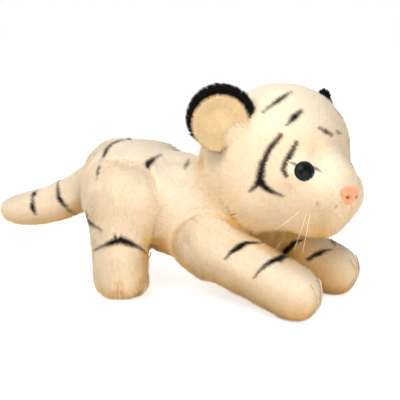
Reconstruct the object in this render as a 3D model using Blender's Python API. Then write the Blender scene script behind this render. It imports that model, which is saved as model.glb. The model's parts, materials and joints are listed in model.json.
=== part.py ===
# A stuffed white tiger cub: plush covers over loose filling, sewn legs, tail and ears,
# a head sewn on at the neck, safety eyes and a nose held by washers, and nylon whiskers.
# +X is forward, +Y is the toy's left, +Z is up. It stands on its four paws at Z = 0.
import math

import bmesh
import bpy
import numpy as np
from mathutils import Matrix, Vector

# Clearances and the fabric.
GAP = 0.0003
CUT_OVERRUN = 0.03
COVER_THICKNESS = 0.0024
SOLE_CUT = 0.0005
SEAM_PLAY = 0.0012
FORELEG_ROOT_MARGIN = 0.0080
HIND_ROOT_MARGIN = 0.0130
ROOT_SLOPE = 0.015

# The torso, a bag sewn from two sides, measured from its middle.
TORSO_LENGTH = 0.134
TORSO_WIDTH = 0.078
TORSO_HEIGHT = 0.084
TORSO_CENTRE_HEIGHT = 0.069
TORSO_BLEND = 0.016
# Each ball: place along and up, then half sizes along, across and up, as shares of the
# torso's length, width and height.
TORSO_BALL_SHARES = (
    (-0.285, 0.075, 0.25, 0.45, 0.43),
    (0.00, -0.05, 0.30, 0.44, 0.48),
    (0.22, -0.09, 0.25, 0.45, 0.47),
    (0.36, -0.27, 0.26, 0.30, 0.28),
)
TORSO_SPINE_SHARE = 0.24

# The neck seam, a flat ring between torso and head that leans forward.
NECK_FORWARD = 0.056
NECK_HEIGHT = 0.086
NECK_RADIUS = 0.033
NECK_LEAN = math.radians(42.0)

# The head, sewn on turned to the toy's right.
HEAD_REACH = 0.036
HEAD_LENGTH = 0.100
HEAD_WIDTH = 0.103
HEAD_HEIGHT = 0.103
HEAD_TURN = math.radians(-20.5)
HEAD_ROLL = math.radians(-5.5)
HEAD_BLEND = 0.014
# Each ball: place forward, left and up, then half sizes, as shares of the head's
# length, width and height.
HEAD_BALL_SHARES = (
    (0.00, 0.00, 0.00, 0.49, 0.49, 0.49),
    (0.07, 0.20, -0.22, 0.33, 0.27, 0.28),
    (0.07, -0.20, -0.22, 0.33, 0.27, 0.28),
    (0.48, 0.11, -0.21, 0.16, 0.15, 0.15),
    (0.48, -0.11, -0.21, 0.16, 0.15, 0.15),
    (0.41, 0.00, -0.08, 0.19, 0.12, 0.12),
    (0.35, 0.00, -0.41, 0.20, 0.20, 0.13),
)
HEAD_SPINE_SHARE = 0.10

# A foreleg stretches forward and out from the shoulder; its thickness swells at both
# ends, and the left paw lies a little ahead of the right one.
FORELEG_HALF_SPACING = 0.030
FORELEG_SHOULDER_FORWARD = 0.044
FORELEG_SHOULDER_HEIGHT = 0.0425
FORELEG_REACHES = {"left": 0.066, "right": 0.061}
FORELEG_SPLAY = 0.0045
FORELEG_DROP = 0.0228
FORELEG_SHOULDER_RADIUS = 0.0225
FORELEG_WIDTH = 0.040
FORELEG_PAW_LENGTH = 0.021
FORELEG_ROOT_SPACING = 0.0215
# Share of the way from the shoulder end to the paw's front, then half depth as a share
# of the shoulder's radius and half width as a share of the leg's width.
FORELEG_SECTION_SHARES = (
    (0.00, 1.00, 0.47),
    (0.22, 1.00, 0.48),
    (0.43, 0.98, 0.47),
    (0.61, 0.94, 0.46),
    (0.81, 0.93, 0.51),
    (1.00, 0.91, 0.51),
)

# A hind leg hangs from the hip, a broad thigh that narrows and swells again to the foot.
HIND_HALF_SPACING = 0.034
HIND_HIP_FORWARD = -0.031
HIND_HIP_HEIGHT = 0.069
HIND_HIP_RADIUS = 0.0255
HIND_WIDTH = 0.040
HIND_FOOT_FORWARDS = {"left": -0.038, "right": 0.0035}
HIND_SPLAYS = {"left": 0.003, "right": 0.008}
HIND_ROOT_SPACING = 0.0235
# Share of the way from the thigh's top to the sole, then half length as a share of the
# hip's radius, half width as a share of the leg's width and shift as a share of the
# foot's place ahead of the hip. The left foot stands behind the right one, as in a step.
HIND_SECTION_SHARES = (
    (0.00, 1.00, 0.46, 0.0),
    (0.27, 1.00, 0.46, 0.0),
    (0.48, 0.95, 0.46, 0.25),
    (0.67, 0.88, 0.48, 0.65),
    (0.85, 0.88, 0.52, 1.0),
    (1.00, 0.88, 0.52, 1.0),
)

# The tail leaves the rump downwards and curves out behind, clear of the floor.
TAIL_ROOT_FORWARD = -0.060
TAIL_ROOT_HEIGHT = 0.089
TAIL_BEND_FORWARD = -0.093
TAIL_BEND_HEIGHT = 0.047
TAIL_TIP_FORWARD = -0.166
TAIL_TIP_HEIGHT = 0.046
TAIL_RADIUS = 0.0162
TAIL_TIP_ROUNDING = 0.026
TAIL_SECTION_SHARES = ((0.0, 1.0), (0.3, 1.0), (0.6, 0.98), (0.85, 0.93), (1.0, 0.86))

# How far each sewn joint swings from rest, which sets the room around it.
FORELEG_SWING = math.radians(10.0)
HIND_SWING = math.radians(10.0)
TAIL_SWING = math.radians(15.0)
EAR_SWING = math.radians(12.0)

# The ears, cupped discs on the upper back of the head. The middle of the left ear is
# placed from the middle of the head; the right ear mirrors it.
EAR_RADIUS = 0.0245
EAR_HALF_THICKNESS = 0.0066
EAR_FORWARD = -0.0105
EAR_LEFT = 0.053
EAR_UP = 0.0235
EAR_LIFT = 0.0185
EAR_ROOT_RADIUS = 0.0068
EAR_ROOT_SHARE = 0.5
EAR_CUP_RADIUS = 0.0200
EAR_CUP_SETBACK = 0.0042
EAR_LINER_THICKNESS = 0.0026
EAR_SIDES = 16
EAR_RINGS = 8
EAR_SLOT_PLAY = math.radians(2.0)
EAR_FACING_AZIMUTH = math.radians(45.0)
EAR_FACING_ELEVATION = math.radians(8.0)
EAR_STANDING_AZIMUTH = math.radians(143.0)
EAR_STANDING_ELEVATION = math.radians(48.0)

# The safety eyes.
EYE_RADIUS = 0.0069
EYE_DOME_HEIGHT = 0.0042
EYE_SEAT_DEPTH = 0.0016
EYE_SHANK_RADIUS = 0.00175
EYE_SHANK_LENGTH = 0.0125
EYE_AZIMUTH = math.radians(35.4)
EYE_ELEVATION = math.radians(-7.5)
WASHER_RADIUS = 0.006
WASHER_THICKNESS = 0.0015

# The nose, a moulded rounded triangle.
NOSE_WIDTH = 0.0165
NOSE_HEIGHT = 0.0135
NOSE_DEPTH = 0.0075
NOSE_TAPER_SHARE = 0.42
NOSE_SEAT_DEPTH = 0.0012
NOSE_ELEVATION = math.radians(-20.2)

# The whiskers: azimuth and elevation of each root on a muzzle pad, seen from the middle of
# the head, then of the way in which the thread leaves it, away from the toy's middle.
WHISKER_RADIUS = 0.00022
WHISKER_LENGTH = 0.036
WHISKER_SAG = 0.005
WHISKER_SEAT = 0.0016
WHISKER_ANGLES = {
    "left": ((29.0, -32.0, 52.0, 2.0), (26.0, -34.5, 66.0, -6.0), (23.0, -37.5, 80.0, -18.0)),
    "right": ((32.5, -33.2, 95.0, -32.0), (29.5, -35.2, 75.0, -52.0), (26.5, -36.0, 58.0, -62.0)),
}

# The sewn toe lines, two threads over the front of each paw: how far the paw's toes turn
# outwards, how far each line lies from their middle, and where it starts and ends round
# the paw's end.
THREAD_RADIUS = 0.0005
FORELEG_TOE_TURN = math.radians(0.0)
FORELEG_TOE_OFFSET = math.radians(24.0)
FORELEG_TOE_SPAN = (math.radians(8.0), math.radians(32.0))
HIND_TOE_TURN = math.radians(38.0)
HIND_TOE_OFFSET = math.radians(29.0)
HIND_TOE_SPAN = (math.radians(25.0), math.radians(44.0))

# Counts of flat faces, which set how round a piece is.
TORSO_SIDES = 16
TORSO_RINGS = 11
HEAD_SIDES = 18
HEAD_RINGS = 13
LIMB_SIDES = 12
LIMB_RINGS = 10
POCKET_SIDES = 18
SMALL_SIDES = 12
NEEDLE_SIDES = 8
THREAD_POINTS = 7
MARCH_STEPS = 120
HALVINGS = 40
NEARLY_ZERO = 1e-9
WELD = GAP / 100
NEARLY_STILL = math.radians(0.1)

X_AXIS = Vector((1, 0, 0))
Y_AXIS = Vector((0, 1, 0))
Z_AXIS = Vector((0, 0, 1))

# Colours and finish: linear red, green and blue, then roughness.
MATERIALS = {
    "cream_plush": ((0.86, 0.76, 0.58), 0.95),
    "black_plush": ((0.02, 0.015, 0.012), 0.95),
    "ear_liner_plush": ((0.80, 0.62, 0.38), 0.95),
    "polyester_filling": ((0.90, 0.90, 0.88), 1.0),
    "eye_acrylic": ((0.005, 0.02, 0.025), 0.08),
    "washer_nylon": ((0.75, 0.75, 0.72), 0.4),
    "nose_flock": ((0.75, 0.30, 0.13), 0.8),
    "whisker_nylon": ((0.85, 0.85, 0.82), 0.3),
    "toe_thread": ((0.45, 0.33, 0.20), 0.8),
}


# Scene and objects


def clear_scene():
    for obj in list(bpy.data.objects):
        bpy.data.objects.remove(obj, do_unlink=True)


def make_material(name):
    colour, roughness = MATERIALS[name]
    material = bpy.data.materials.new(name)
    material.use_nodes = True
    shader = material.node_tree.nodes["Principled BSDF"]
    shader.inputs["Base Color"].default_value = (*colour, 1.0)
    shader.inputs["Roughness"].default_value = roughness
    shader.inputs["Metallic"].default_value = 0.0
    return material


def add_empty(name, place, parent=None):
    """An empty at a place in the toy's frame, which pieces or a joint hang from."""
    empty = bpy.data.objects.new(name, None)
    bpy.context.scene.collection.objects.link(empty)
    empty["place"] = tuple(place)
    empty.location = place
    if parent:
        empty.parent = parent
        empty.location = Vector(place) - Vector(parent["place"])
    return empty


def add_object(name, mesh, parent, material):
    """A named piece from a bmesh in the toy's frame, hung from an empty."""
    data = bpy.data.meshes.new(name)
    bmesh.ops.translate(mesh, verts=mesh.verts, vec=-Vector(parent["place"]))
    mesh.to_mesh(data)
    mesh.free()
    data.shade_smooth()
    obj = bpy.data.objects.new(name, data)
    bpy.context.scene.collection.objects.link(obj)
    obj.parent = parent
    obj.data.materials.append(material)
    return obj


def add_cutter(name, mesh, parent):
    """A helper shape that only cuts others."""
    data = bpy.data.meshes.new(name)
    bmesh.ops.translate(mesh, verts=mesh.verts, vec=-Vector(parent["place"]))
    bmesh.ops.recalc_face_normals(mesh, faces=mesh.faces)
    mesh.to_mesh(data)
    mesh.free()
    obj = bpy.data.objects.new(name, data)
    bpy.context.scene.collection.objects.link(obj)
    obj.parent = parent
    obj.hide_render = True
    obj.display_type = "WIRE"
    return obj


def combine(obj, operation, *others):
    for other in others:
        modifier = obj.modifiers.new(f"{operation.lower()}_{other.name}", "BOOLEAN")
        modifier.operation = operation
        modifier.object = other
        modifier.solver = "EXACT"
    return obj


# Soft forms


def smooth_table(rows, along):
    """The table's columns at each share along it, on a smooth curve through the rows."""
    rows = np.array(rows, float)
    knots, values = rows[:, 0], rows[:, 1:]
    slopes = np.gradient(values, knots, axis=0)
    span = np.clip(np.searchsorted(knots, along, side="right") - 1, 0, len(knots) - 2)
    width = knots[span + 1] - knots[span]
    part = ((along - knots[span]) / width)[:, None]
    width = width[:, None]
    rise = part * part * (3 - 2 * part)
    first = part * (1 - part) ** 2 * width
    last = part * part * (1 - part) * width
    level = values[span] * (1 - rise) + values[span + 1] * rise
    return level + slopes[span] * first - slopes[span + 1] * last


def ball_distance(points, centre, half):
    """About how far each point lies outside an ellipsoid; negative inside."""
    scaled = (points - centre) / half
    reach = np.linalg.norm(scaled, axis=1)
    slope = np.linalg.norm(scaled / half, axis=1)
    return reach * (reach - 1) / np.maximum(slope, NEARLY_ZERO)


def blended_distance(points, balls, blend):
    """The distance to all the balls together, with the creases between them filled."""
    total = ball_distance(points, *balls[0])
    for centre, half in balls[1:]:
        other = ball_distance(points, centre, half)
        overlap = np.maximum(blend - abs(total - other), 0)
        total = np.minimum(total, other) - overlap * overlap / (4 * blend)
    return total


class BallForm:
    """A form of blended balls round a straight spine along its own first axis."""

    def __init__(self, shares, sizes, blend, spine_share, frame):
        self.sizes = np.array(sizes)
        self.balls = [(np.array(row[:3]) * self.sizes, np.array(row[3:]) * self.sizes) for row in shares]
        self.blend = blend
        self.spine_half = spine_share * sizes[0]
        self.frame = frame

    def local_points(self, units, depth):
        """The skin's points in the unit directions, moved in by a depth."""
        starts = np.zeros_like(units)
        starts[:, 0] = units[:, 0] * self.spine_half
        # The first step outwards that leaves the form, then halved down to the skin.
        far = np.full(len(units), self.sizes.max())
        for reach in np.linspace(self.sizes.max(), 0, MARCH_STEPS):
            outside = blended_distance(starts + units * reach, self.balls, self.blend) >= -depth
            far = np.where(outside, reach, far)
        near = np.maximum(far - self.sizes.max() / (MARCH_STEPS - 1), 0)
        for _ in range(HALVINGS):
            middle = (near + far) / 2
            points = starts + units * middle[:, None]
            inside = blended_distance(points, self.balls, self.blend) < -depth
            near = np.where(inside, middle, near)
            far = np.where(inside, far, middle)
        return starts + units * near[:, None]

    def points(self, units, depth=0.0):
        matrix = np.array(self.frame)
        return self.local_points(units, depth) @ matrix[:3, :3].T + matrix[:3, 3]


class LoftForm:
    """A form of oval rings along a curve, with round ends."""

    def __init__(self, route, sections, sizes, round_ends, frame_side=Y_AXIS):
        self.route = [np.array(point) for point in route]
        self.sections = sections
        self.sizes = np.array(sizes)
        self.round_ends = round_ends
        self.side = np.array(frame_side)

    def spine(self, along):
        """Points on the route, a straight run or a curve drawn to its middle point, and tangents."""
        first, last = self.route[0], self.route[-1]
        middle = self.route[1] if len(self.route) == 3 else (first + last) / 2
        along = along[:, None]
        places = first * (1 - along) ** 2 + middle * 2 * along * (1 - along) + last * along**2
        tangents = 2 * (middle - first) * (1 - along) + 2 * (last - middle) * along
        return places, tangents / np.linalg.norm(tangents, axis=1)[:, None]

    def points(self, units, depth=0.0):
        length = sum(np.linalg.norm(b - a) for a, b in zip(self.route, self.route[1:]))
        along = (1 + units[:, 0]) / 2
        inset = depth / length
        along = inset + along * (1 - 2 * inset)
        places, tangents = self.spine(along)
        rows = smooth_table(self.sections, along)
        from_start = np.clip(along * length / self.round_ends[0], 0, 1)
        from_end = np.clip((1 - along) * length / self.round_ends[1], 0, 1)
        rounding = np.sqrt(from_start * (2 - from_start)) * np.sqrt(from_end * (2 - from_end))
        radii = rows[:, :2] * self.sizes[:2] * rounding[:, None]
        ends = abs(units[:, 0]) > 1 - NEARLY_ZERO
        radii = np.where(ends[:, None], 0, np.maximum(radii - depth, depth * rounding[:, None] / 2))
        shift = rows[:, 2] * self.sizes[2] if rows.shape[1] > 2 else np.zeros(len(rows))
        side = self.side - tangents * (tangents @ self.side)[:, None]
        side /= np.linalg.norm(side, axis=1)[:, None]
        up = np.cross(tangents, side)
        around = units[:, 1:] / np.maximum(np.linalg.norm(units[:, 1:], axis=1), NEARLY_ZERO)[:, None]
        across = side * (around[:, 0] * radii[:, 1])[:, None] + up * (around[:, 1] * radii[:, 0])[:, None]
        return places + across + shift[:, None] * np.array(X_AXIS)


def soft_mesh(form, sides, rings, depth=0.0):
    """A closed skin of the form, moved in by a depth."""
    mesh = bmesh.new()
    bmesh.ops.create_uvsphere(mesh, u_segments=sides, v_segments=rings, radius=1.0)
    mesh.verts.ensure_lookup_table()
    units = np.array([vert.co for vert in mesh.verts])[:, [2, 0, 1]]
    for vert, place in zip(mesh.verts, form.points(units, depth)):
        vert.co = place
    # One fixed diagonal keeps the flats of nested skins parallel.
    bmesh.ops.triangulate(mesh, faces=mesh.faces, quad_method="FIXED")
    bmesh.ops.recalc_face_normals(mesh, faces=mesh.faces)
    return mesh


def on_form(form, azimuth, elevation):
    """The skin's place and outward direction at an azimuth and elevation in the form's frame."""
    unit = np.array(
        [
            math.cos(elevation) * math.cos(azimuth),
            math.cos(elevation) * math.sin(azimuth),
            math.sin(elevation),
        ]
    )
    place = form.local_points(unit[None, :], 0.0)
    steps = np.eye(3) * GAP
    ahead = blended_distance(place + steps, form.balls, form.blend)
    behind = blended_distance(place - steps, form.balls, form.blend)
    normal = Vector(ahead - behind).normalized()
    return form.frame @ Vector(place[0]), (form.frame.to_3x3() @ normal).normalized()


def frame_along(place, direction, sideways=None):
    """A frame at a place whose third axis runs along a direction."""
    third = Vector(direction).normalized()
    first = Vector(sideways) if sideways else third.orthogonal()
    first = (first - third * first.dot(third)).normalized()
    second = third.cross(first)
    rotation = Matrix((first, second, third)).transposed()
    return Matrix.Translation(place) @ rotation.to_4x4()


# Hard and cutting shapes


def turned(profile, frame, sides=SMALL_SIDES):
    """A solid turned from (radius, height) points, round a frame's third axis."""
    mesh = bmesh.new()
    verts = [mesh.verts.new((radius, 0, height)) for radius, height in profile]
    edges = [mesh.edges.new(pair) for pair in zip(verts, verts[1:])]
    bmesh.ops.spin(
        mesh,
        geom=verts + edges,
        cent=(0, 0, 0),
        axis=Z_AXIS,
        angle=math.tau,
        steps=sides,
        use_merge=True,
    )
    bmesh.ops.remove_doubles(mesh, verts=mesh.verts, dist=WELD)
    bmesh.ops.recalc_face_normals(mesh, faces=mesh.faces)
    bmesh.ops.transform(mesh, matrix=frame, verts=mesh.verts)
    return mesh


def half_space(place, direction):
    """A large block whose one face lies at a place, square to a direction, on its far side."""
    size = 2 * (TORSO_LENGTH + HEAD_LENGTH)
    mesh = bmesh.new()
    bmesh.ops.create_cube(mesh, size=size)
    bmesh.ops.translate(mesh, verts=mesh.verts, vec=Z_AXIS * size / 2)
    bmesh.ops.transform(mesh, matrix=frame_along(place, direction), verts=mesh.verts)
    return mesh


def keyhole(frame, radius, neck_half_width, swing, reach, bottom, top):
    """A round pocket with a channel that opens out by the swing along the frame's first axis."""
    slope = math.tan(swing)
    # The channel's wall meets the circle where along^2 + (neck + slope * along)^2 = radius^2.
    a = 1 + slope * slope
    b = 2 * neck_half_width * slope
    c = neck_half_width * neck_half_width - radius * radius
    along = (-b + math.sqrt(max(b * b - 4 * a * c, 0))) / (2 * a)
    mouth = math.atan2(neck_half_width + slope * along, along)
    steps = POCKET_SIDES
    angles = [mouth + (math.tau - 2 * mouth) * i / steps for i in range(steps + 1)]
    # The flats of the arc stay outside the true circle.
    outer = radius / math.cos((math.tau - 2 * mouth) / (2 * steps))
    outline = [(outer * math.cos(angle), outer * math.sin(angle)) for angle in angles]
    outline.append((reach, -(neck_half_width + slope * reach)))
    outline.append((reach, neck_half_width + slope * reach))
    mesh = bmesh.new()
    face = mesh.faces.new([mesh.verts.new((x, y, bottom)) for x, y in outline])
    extruded = bmesh.ops.extrude_face_region(mesh, geom=[face])["geom"]
    lifted = [item for item in extruded if isinstance(item, bmesh.types.BMVert)]
    bmesh.ops.translate(mesh, verts=lifted, vec=Z_AXIS * (top - bottom))
    bmesh.ops.recalc_face_normals(mesh, faces=mesh.faces)
    bmesh.ops.transform(mesh, matrix=frame, verts=mesh.verts)
    return mesh


def thread(name, points, radius, parent, material):
    """A round thread through points in the toy's frame."""
    curve = bpy.data.curves.new(name, "CURVE")
    curve.dimensions = "3D"
    curve.bevel_depth = radius
    curve.bevel_resolution = 1
    curve.use_fill_caps = True
    spline = curve.splines.new("POLY")
    spline.points.add(len(points) - 1)
    base = Vector(parent["place"])
    for point, place in zip(spline.points, points):
        point.co = (*(Vector(place) - base), 1.0)
    curve.materials.append(material)
    obj = bpy.data.objects.new(name, curve)
    bpy.context.scene.collection.objects.link(obj)
    obj.parent = parent
    return obj


# The torso and its filling


def torso_form():
    frame = Matrix.Translation(Z_AXIS * TORSO_CENTRE_HEIGHT)
    rows = [(along, 0.0, up, *half) for along, up, *half in TORSO_BALL_SHARES]
    sizes = (TORSO_LENGTH, TORSO_WIDTH, TORSO_HEIGHT)
    form = BallForm(rows, sizes, TORSO_BLEND, TORSO_SPINE_SHARE, frame)
    seam = np.array(neck_place()) - np.array(frame.translation)
    form.balls.append((seam, np.full(3, NECK_RADIUS)))
    return form


def neck_place():
    return Vector((NECK_FORWARD, 0, NECK_HEIGHT))


def neck_axis():
    return Vector((math.cos(NECK_LEAN), 0, math.sin(NECK_LEAN)))


def build_torso(root, materials, pockets):
    form = torso_form()
    neck_cut = add_cutter("neck_cut", half_space(neck_place(), neck_axis()), root)
    hollow = add_cutter("torso_hollow", soft_mesh(form, TORSO_SIDES, TORSO_RINGS, COVER_THICKNESS), root)
    cover_mesh = soft_mesh(form, TORSO_SIDES, TORSO_RINGS)
    cover = add_object("torso_cover", cover_mesh, root, materials["cream_plush"])
    combine(cover, "DIFFERENCE", neck_cut, hollow, *pockets)
    depth = COVER_THICKNESS + GAP
    filling = add_object(
        "torso_filling",
        soft_mesh(form, TORSO_SIDES, TORSO_RINGS, depth),
        root,
        materials["polyester_filling"],
    )
    combine(filling, "DIFFERENCE", neck_cut, *pockets)


# The head and what it carries


def head_frame():
    centre = neck_place() + neck_axis() * HEAD_REACH
    turn = Matrix.Rotation(HEAD_TURN, 4, Z_AXIS)
    return Matrix.Translation(centre) @ turn @ Matrix.Rotation(HEAD_ROLL, 4, X_AXIS)


def head_form():
    sizes = (HEAD_LENGTH, HEAD_WIDTH, HEAD_HEIGHT)
    return BallForm(HEAD_BALL_SHARES, sizes, HEAD_BLEND, HEAD_SPINE_SHARE, head_frame())


def eye_frame(form, side):
    place, normal = on_form(form, side * EYE_AZIMUTH, EYE_ELEVATION)
    return frame_along(place, normal)


def add_washer(name, frame, parent, materials):
    """The washer that locks a shank behind the cover."""
    top = -COVER_THICKNESS - GAP
    bottom = top - WASHER_THICKNESS
    bore = EYE_SHANK_RADIUS + GAP
    ring = [(bore, bottom), (WASHER_RADIUS, bottom), (WASHER_RADIUS, top), (bore, top), (bore, bottom)]
    add_object(name, turned(ring, frame), parent, materials["washer_nylon"])


def seat_cuts(name, frame, seat_radius, seat_depth, parent):
    """What a seated piece, its shank and its washer cut from the cover, then from the filling."""
    bore = EYE_SHANK_RADIUS + GAP
    room = WASHER_RADIUS + GAP
    seat = [
        (0, -CUT_OVERRUN),
        (room, -CUT_OVERRUN),
        (room, -COVER_THICKNESS),
        (bore, -COVER_THICKNESS),
        (bore, -seat_depth),
        (seat_radius, -seat_depth),
        (seat_radius, CUT_OVERRUN),
        (0, CUT_OVERRUN),
    ]
    hole = add_cutter(f"{name}_hole", turned(seat, frame), parent)
    end = -EYE_SHANK_LENGTH - GAP
    pocket_profile = [(0, end), (room, end), (room, CUT_OVERRUN), (0, CUT_OVERRUN)]
    pocket = add_cutter(f"{name}_pocket", turned(pocket_profile, frame), parent)
    return hole, pocket


def build_eye(form, side, name, parent, materials):
    """A domed eye with its shank, the washer behind the cover, and what they cut."""
    frame = eye_frame(form, side)
    back = GAP - EYE_SEAT_DEPTH
    dome = [
        (EYE_RADIUS * math.cos(angle), back + EYE_DOME_HEIGHT * math.sin(angle))
        for angle in np.linspace(0, math.pi / 2, SMALL_SIDES // 2)
    ]
    end = -EYE_SHANK_LENGTH
    profile = [(0, end), (EYE_SHANK_RADIUS, end), (EYE_SHANK_RADIUS, back), *dome[:-1]]
    profile.append((0, back + EYE_DOME_HEIGHT))
    add_object(f"eye_{name}", turned(profile, frame), parent, materials["eye_acrylic"])
    add_washer(f"eye_washer_{name}", frame, parent, materials)
    return seat_cuts(f"eye_{name}", frame, EYE_RADIUS + GAP, EYE_SEAT_DEPTH, parent)


def build_nose(form, parent, materials):
    """The moulded nose with its shank, its washer, and what they cut."""
    place, normal = on_form(form, 0.0, NOSE_ELEVATION)
    side = form.frame.to_3x3() @ Y_AXIS
    frame = frame_along(place, normal, side)
    mesh = bmesh.new()
    bmesh.ops.create_uvsphere(mesh, u_segments=SMALL_SIDES, v_segments=SMALL_SIDES // 2 + 2, radius=1.0)
    for vert in mesh.verts:
        x, y, z = vert.co
        # The frame's first axis points left and its second up, and the nose narrows downwards.
        width = NOSE_WIDTH / 2 * (1 + NOSE_TAPER_SHARE * y)
        front = z if z > 0 else z / 2
        vert.co = (x * width, y * NOSE_HEIGHT / 2, front * NOSE_DEPTH / 2)
    rise = NOSE_DEPTH / 4 - NOSE_SEAT_DEPTH + GAP
    bmesh.ops.translate(mesh, verts=mesh.verts, vec=Z_AXIS * rise)
    bmesh.ops.transform(mesh, matrix=frame, verts=mesh.verts)
    nose = add_object("nose", mesh, parent, materials["nose_flock"])
    end = -EYE_SHANK_LENGTH
    stalk = [(0, end), (EYE_SHANK_RADIUS, end), (EYE_SHANK_RADIUS, rise), (0, rise)]
    combine(nose, "UNION", add_cutter("nose_shank", turned(stalk, frame), parent))
    add_washer("nose_washer", frame, parent, materials)
    half = NOSE_WIDTH / 2 * (1 + NOSE_TAPER_SHARE)
    return seat_cuts("nose", frame, half, NOSE_SEAT_DEPTH, parent)


def build_whiskers(form, parent, material):
    """Nylon threads in blind needle holes, three to a side, and one cutter for the holes."""
    holes = bmesh.new()
    rotation = form.frame.to_3x3()
    for name, side in (("left", 1), ("right", -1)):
        for number, row in enumerate(WHISKER_ANGLES[name], 1):
            azimuth, elevation, way, rise = (math.radians(angle) for angle in row)
            place, normal = on_form(form, side * azimuth, elevation)
            leave = rotation @ pointing(way, rise, side)
            start = place - normal * (WHISKER_SEAT - GAP)
            points = []
            for step in np.linspace(0, 1, THREAD_POINTS):
                # The thread leaves the skin squarely, bends over to its own way and sags.
                bend = step * (2 - step)
                run = (normal * (1 - bend) + leave * bend) * (WHISKER_LENGTH * step)
                points.append(start + run - Z_AXIS * (WHISKER_SAG * step * step))
            thread(f"whisker_{name}_{number}", points, WHISKER_RADIUS, parent, material)
            bore = WHISKER_RADIUS + GAP
            profile = [(0, -WHISKER_SEAT), (bore, -WHISKER_SEAT), (bore, WHISKER_SEAT), (0, WHISKER_SEAT)]
            hole = turned(profile, frame_along(place, points[1] - points[0]), NEEDLE_SIDES)
            copied = bpy.data.meshes.new("needle_hole")
            hole.to_mesh(copied)
            holes.from_mesh(copied)
            hole.free()
            bpy.data.meshes.remove(copied)
    return add_cutter("needle_holes", holes, parent)


def pointing(azimuth, elevation, side):
    """A direction in the head's frame; side mirrors it."""
    level = math.cos(elevation)
    return Vector((level * math.cos(azimuth), side * level * math.sin(azimuth), math.sin(elevation)))


def ear_frame(form, side):
    """The ear's hinge: its first axis points up the ear, its second the way the cup faces."""
    rotation = form.frame.to_3x3()
    front = rotation @ pointing(EAR_FACING_AZIMUTH, EAR_FACING_ELEVATION, side)
    standing = rotation @ pointing(EAR_STANDING_AZIMUTH, EAR_STANDING_ELEVATION, side)
    up = (standing - front * standing.dot(front)).normalized()
    middle = form.frame @ Vector((EAR_FORWARD, side * EAR_LEFT, EAR_UP))
    matrix = Matrix((up, front, up.cross(front))).transposed()
    return Matrix.Translation(middle - up * EAR_LIFT) @ matrix.to_4x4()


def disc(radius, half_thickness, along, forward, frame):
    """A flattened ball in an ear's frame, its middle up the ear and forward of the hinge."""
    mesh = bmesh.new()
    bmesh.ops.create_uvsphere(mesh, u_segments=EAR_SIDES, v_segments=EAR_RINGS, radius=1.0)
    for vert in mesh.verts:
        x, y, z = vert.co
        vert.co = (along + x * radius, forward + z * half_thickness, y * radius)
    bmesh.ops.recalc_face_normals(mesh, faces=mesh.faces)
    bmesh.ops.transform(mesh, matrix=frame, verts=mesh.verts)
    return mesh


def build_ear(form, side, name, head, materials):
    """A cupped back with a root in the head's slot, a liner in its cup, and the slot's cutter."""
    frame = ear_frame(form, side)
    joint = add_empty(f"ear_{name}_joint", frame.translation, head)
    half_chord = math.sqrt(EAR_RADIUS**2 - EAR_LIFT**2)
    root_half = half_chord * EAR_ROOT_SHARE
    # The back is a flattened ball above the hinge, hollowed at its front.
    back = add_object(
        f"ear_{name}_back",
        disc(EAR_RADIUS, EAR_HALF_THICKNESS, EAR_LIFT, 0.0, frame),
        joint,
        materials["black_plush"],
    )
    below = add_cutter(f"ear_{name}_below", half_space(frame.translation, -frame.col[0].to_3d()), joint)
    root_profile = [(0, -root_half), (EAR_ROOT_RADIUS, -root_half), (EAR_ROOT_RADIUS, root_half), (0, root_half)]
    root = add_cutter(f"ear_{name}_root", turned(root_profile, frame), joint)
    cup_mesh = disc(EAR_CUP_RADIUS, EAR_HALF_THICKNESS, EAR_LIFT, EAR_CUP_SETBACK, frame)
    cup = add_cutter(f"ear_{name}_cup", cup_mesh, joint)
    combine(back, "DIFFERENCE", below)
    combine(back, "UNION", root)
    combine(back, "DIFFERENCE", cup)
    # The liner lies in the cup, as thick as its own plush.
    liner_radius = EAR_CUP_RADIUS - GAP
    liner_half = EAR_HALF_THICKNESS - GAP
    liner = add_object(
        f"ear_{name}_liner",
        disc(liner_radius, liner_half, EAR_LIFT, EAR_CUP_SETBACK, frame),
        joint,
        materials["ear_liner_plush"],
    )
    bowl_mesh = disc(
        EAR_CUP_RADIUS,
        EAR_HALF_THICKNESS,
        EAR_LIFT,
        EAR_CUP_SETBACK + EAR_LINER_THICKNESS,
        frame,
    )
    bowl = add_cutter(f"ear_{name}_bowl", bowl_mesh, joint)
    combine(liner, "DIFFERENCE", bowl)
    # The slot is as deep as the disc and its root, and opens out by the swing.
    reach = EAR_RADIUS + 2 * SEAM_PLAY
    slot_mesh = keyhole(
        frame,
        EAR_ROOT_RADIUS + GAP,
        min(EAR_HALF_THICKNESS, EAR_ROOT_RADIUS),
        EAR_SWING + EAR_SLOT_PLAY,
        CUT_OVERRUN,
        -reach,
        reach,
    )
    slot = add_cutter(f"ear_{name}_slot", slot_mesh, head)
    outline = [(0, -CUT_OVERRUN), (reach, -CUT_OVERRUN), (reach, CUT_OVERRUN), (0, CUT_OVERRUN)]
    middle = frame @ Vector((EAR_LIFT, 0, 0))
    around = turned(outline, frame_along(middle, frame.col[1].to_3d()), 2 * SMALL_SIDES)
    return combine(slot, "INTERSECT", add_cutter(f"ear_{name}_reach", around, head))


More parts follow.
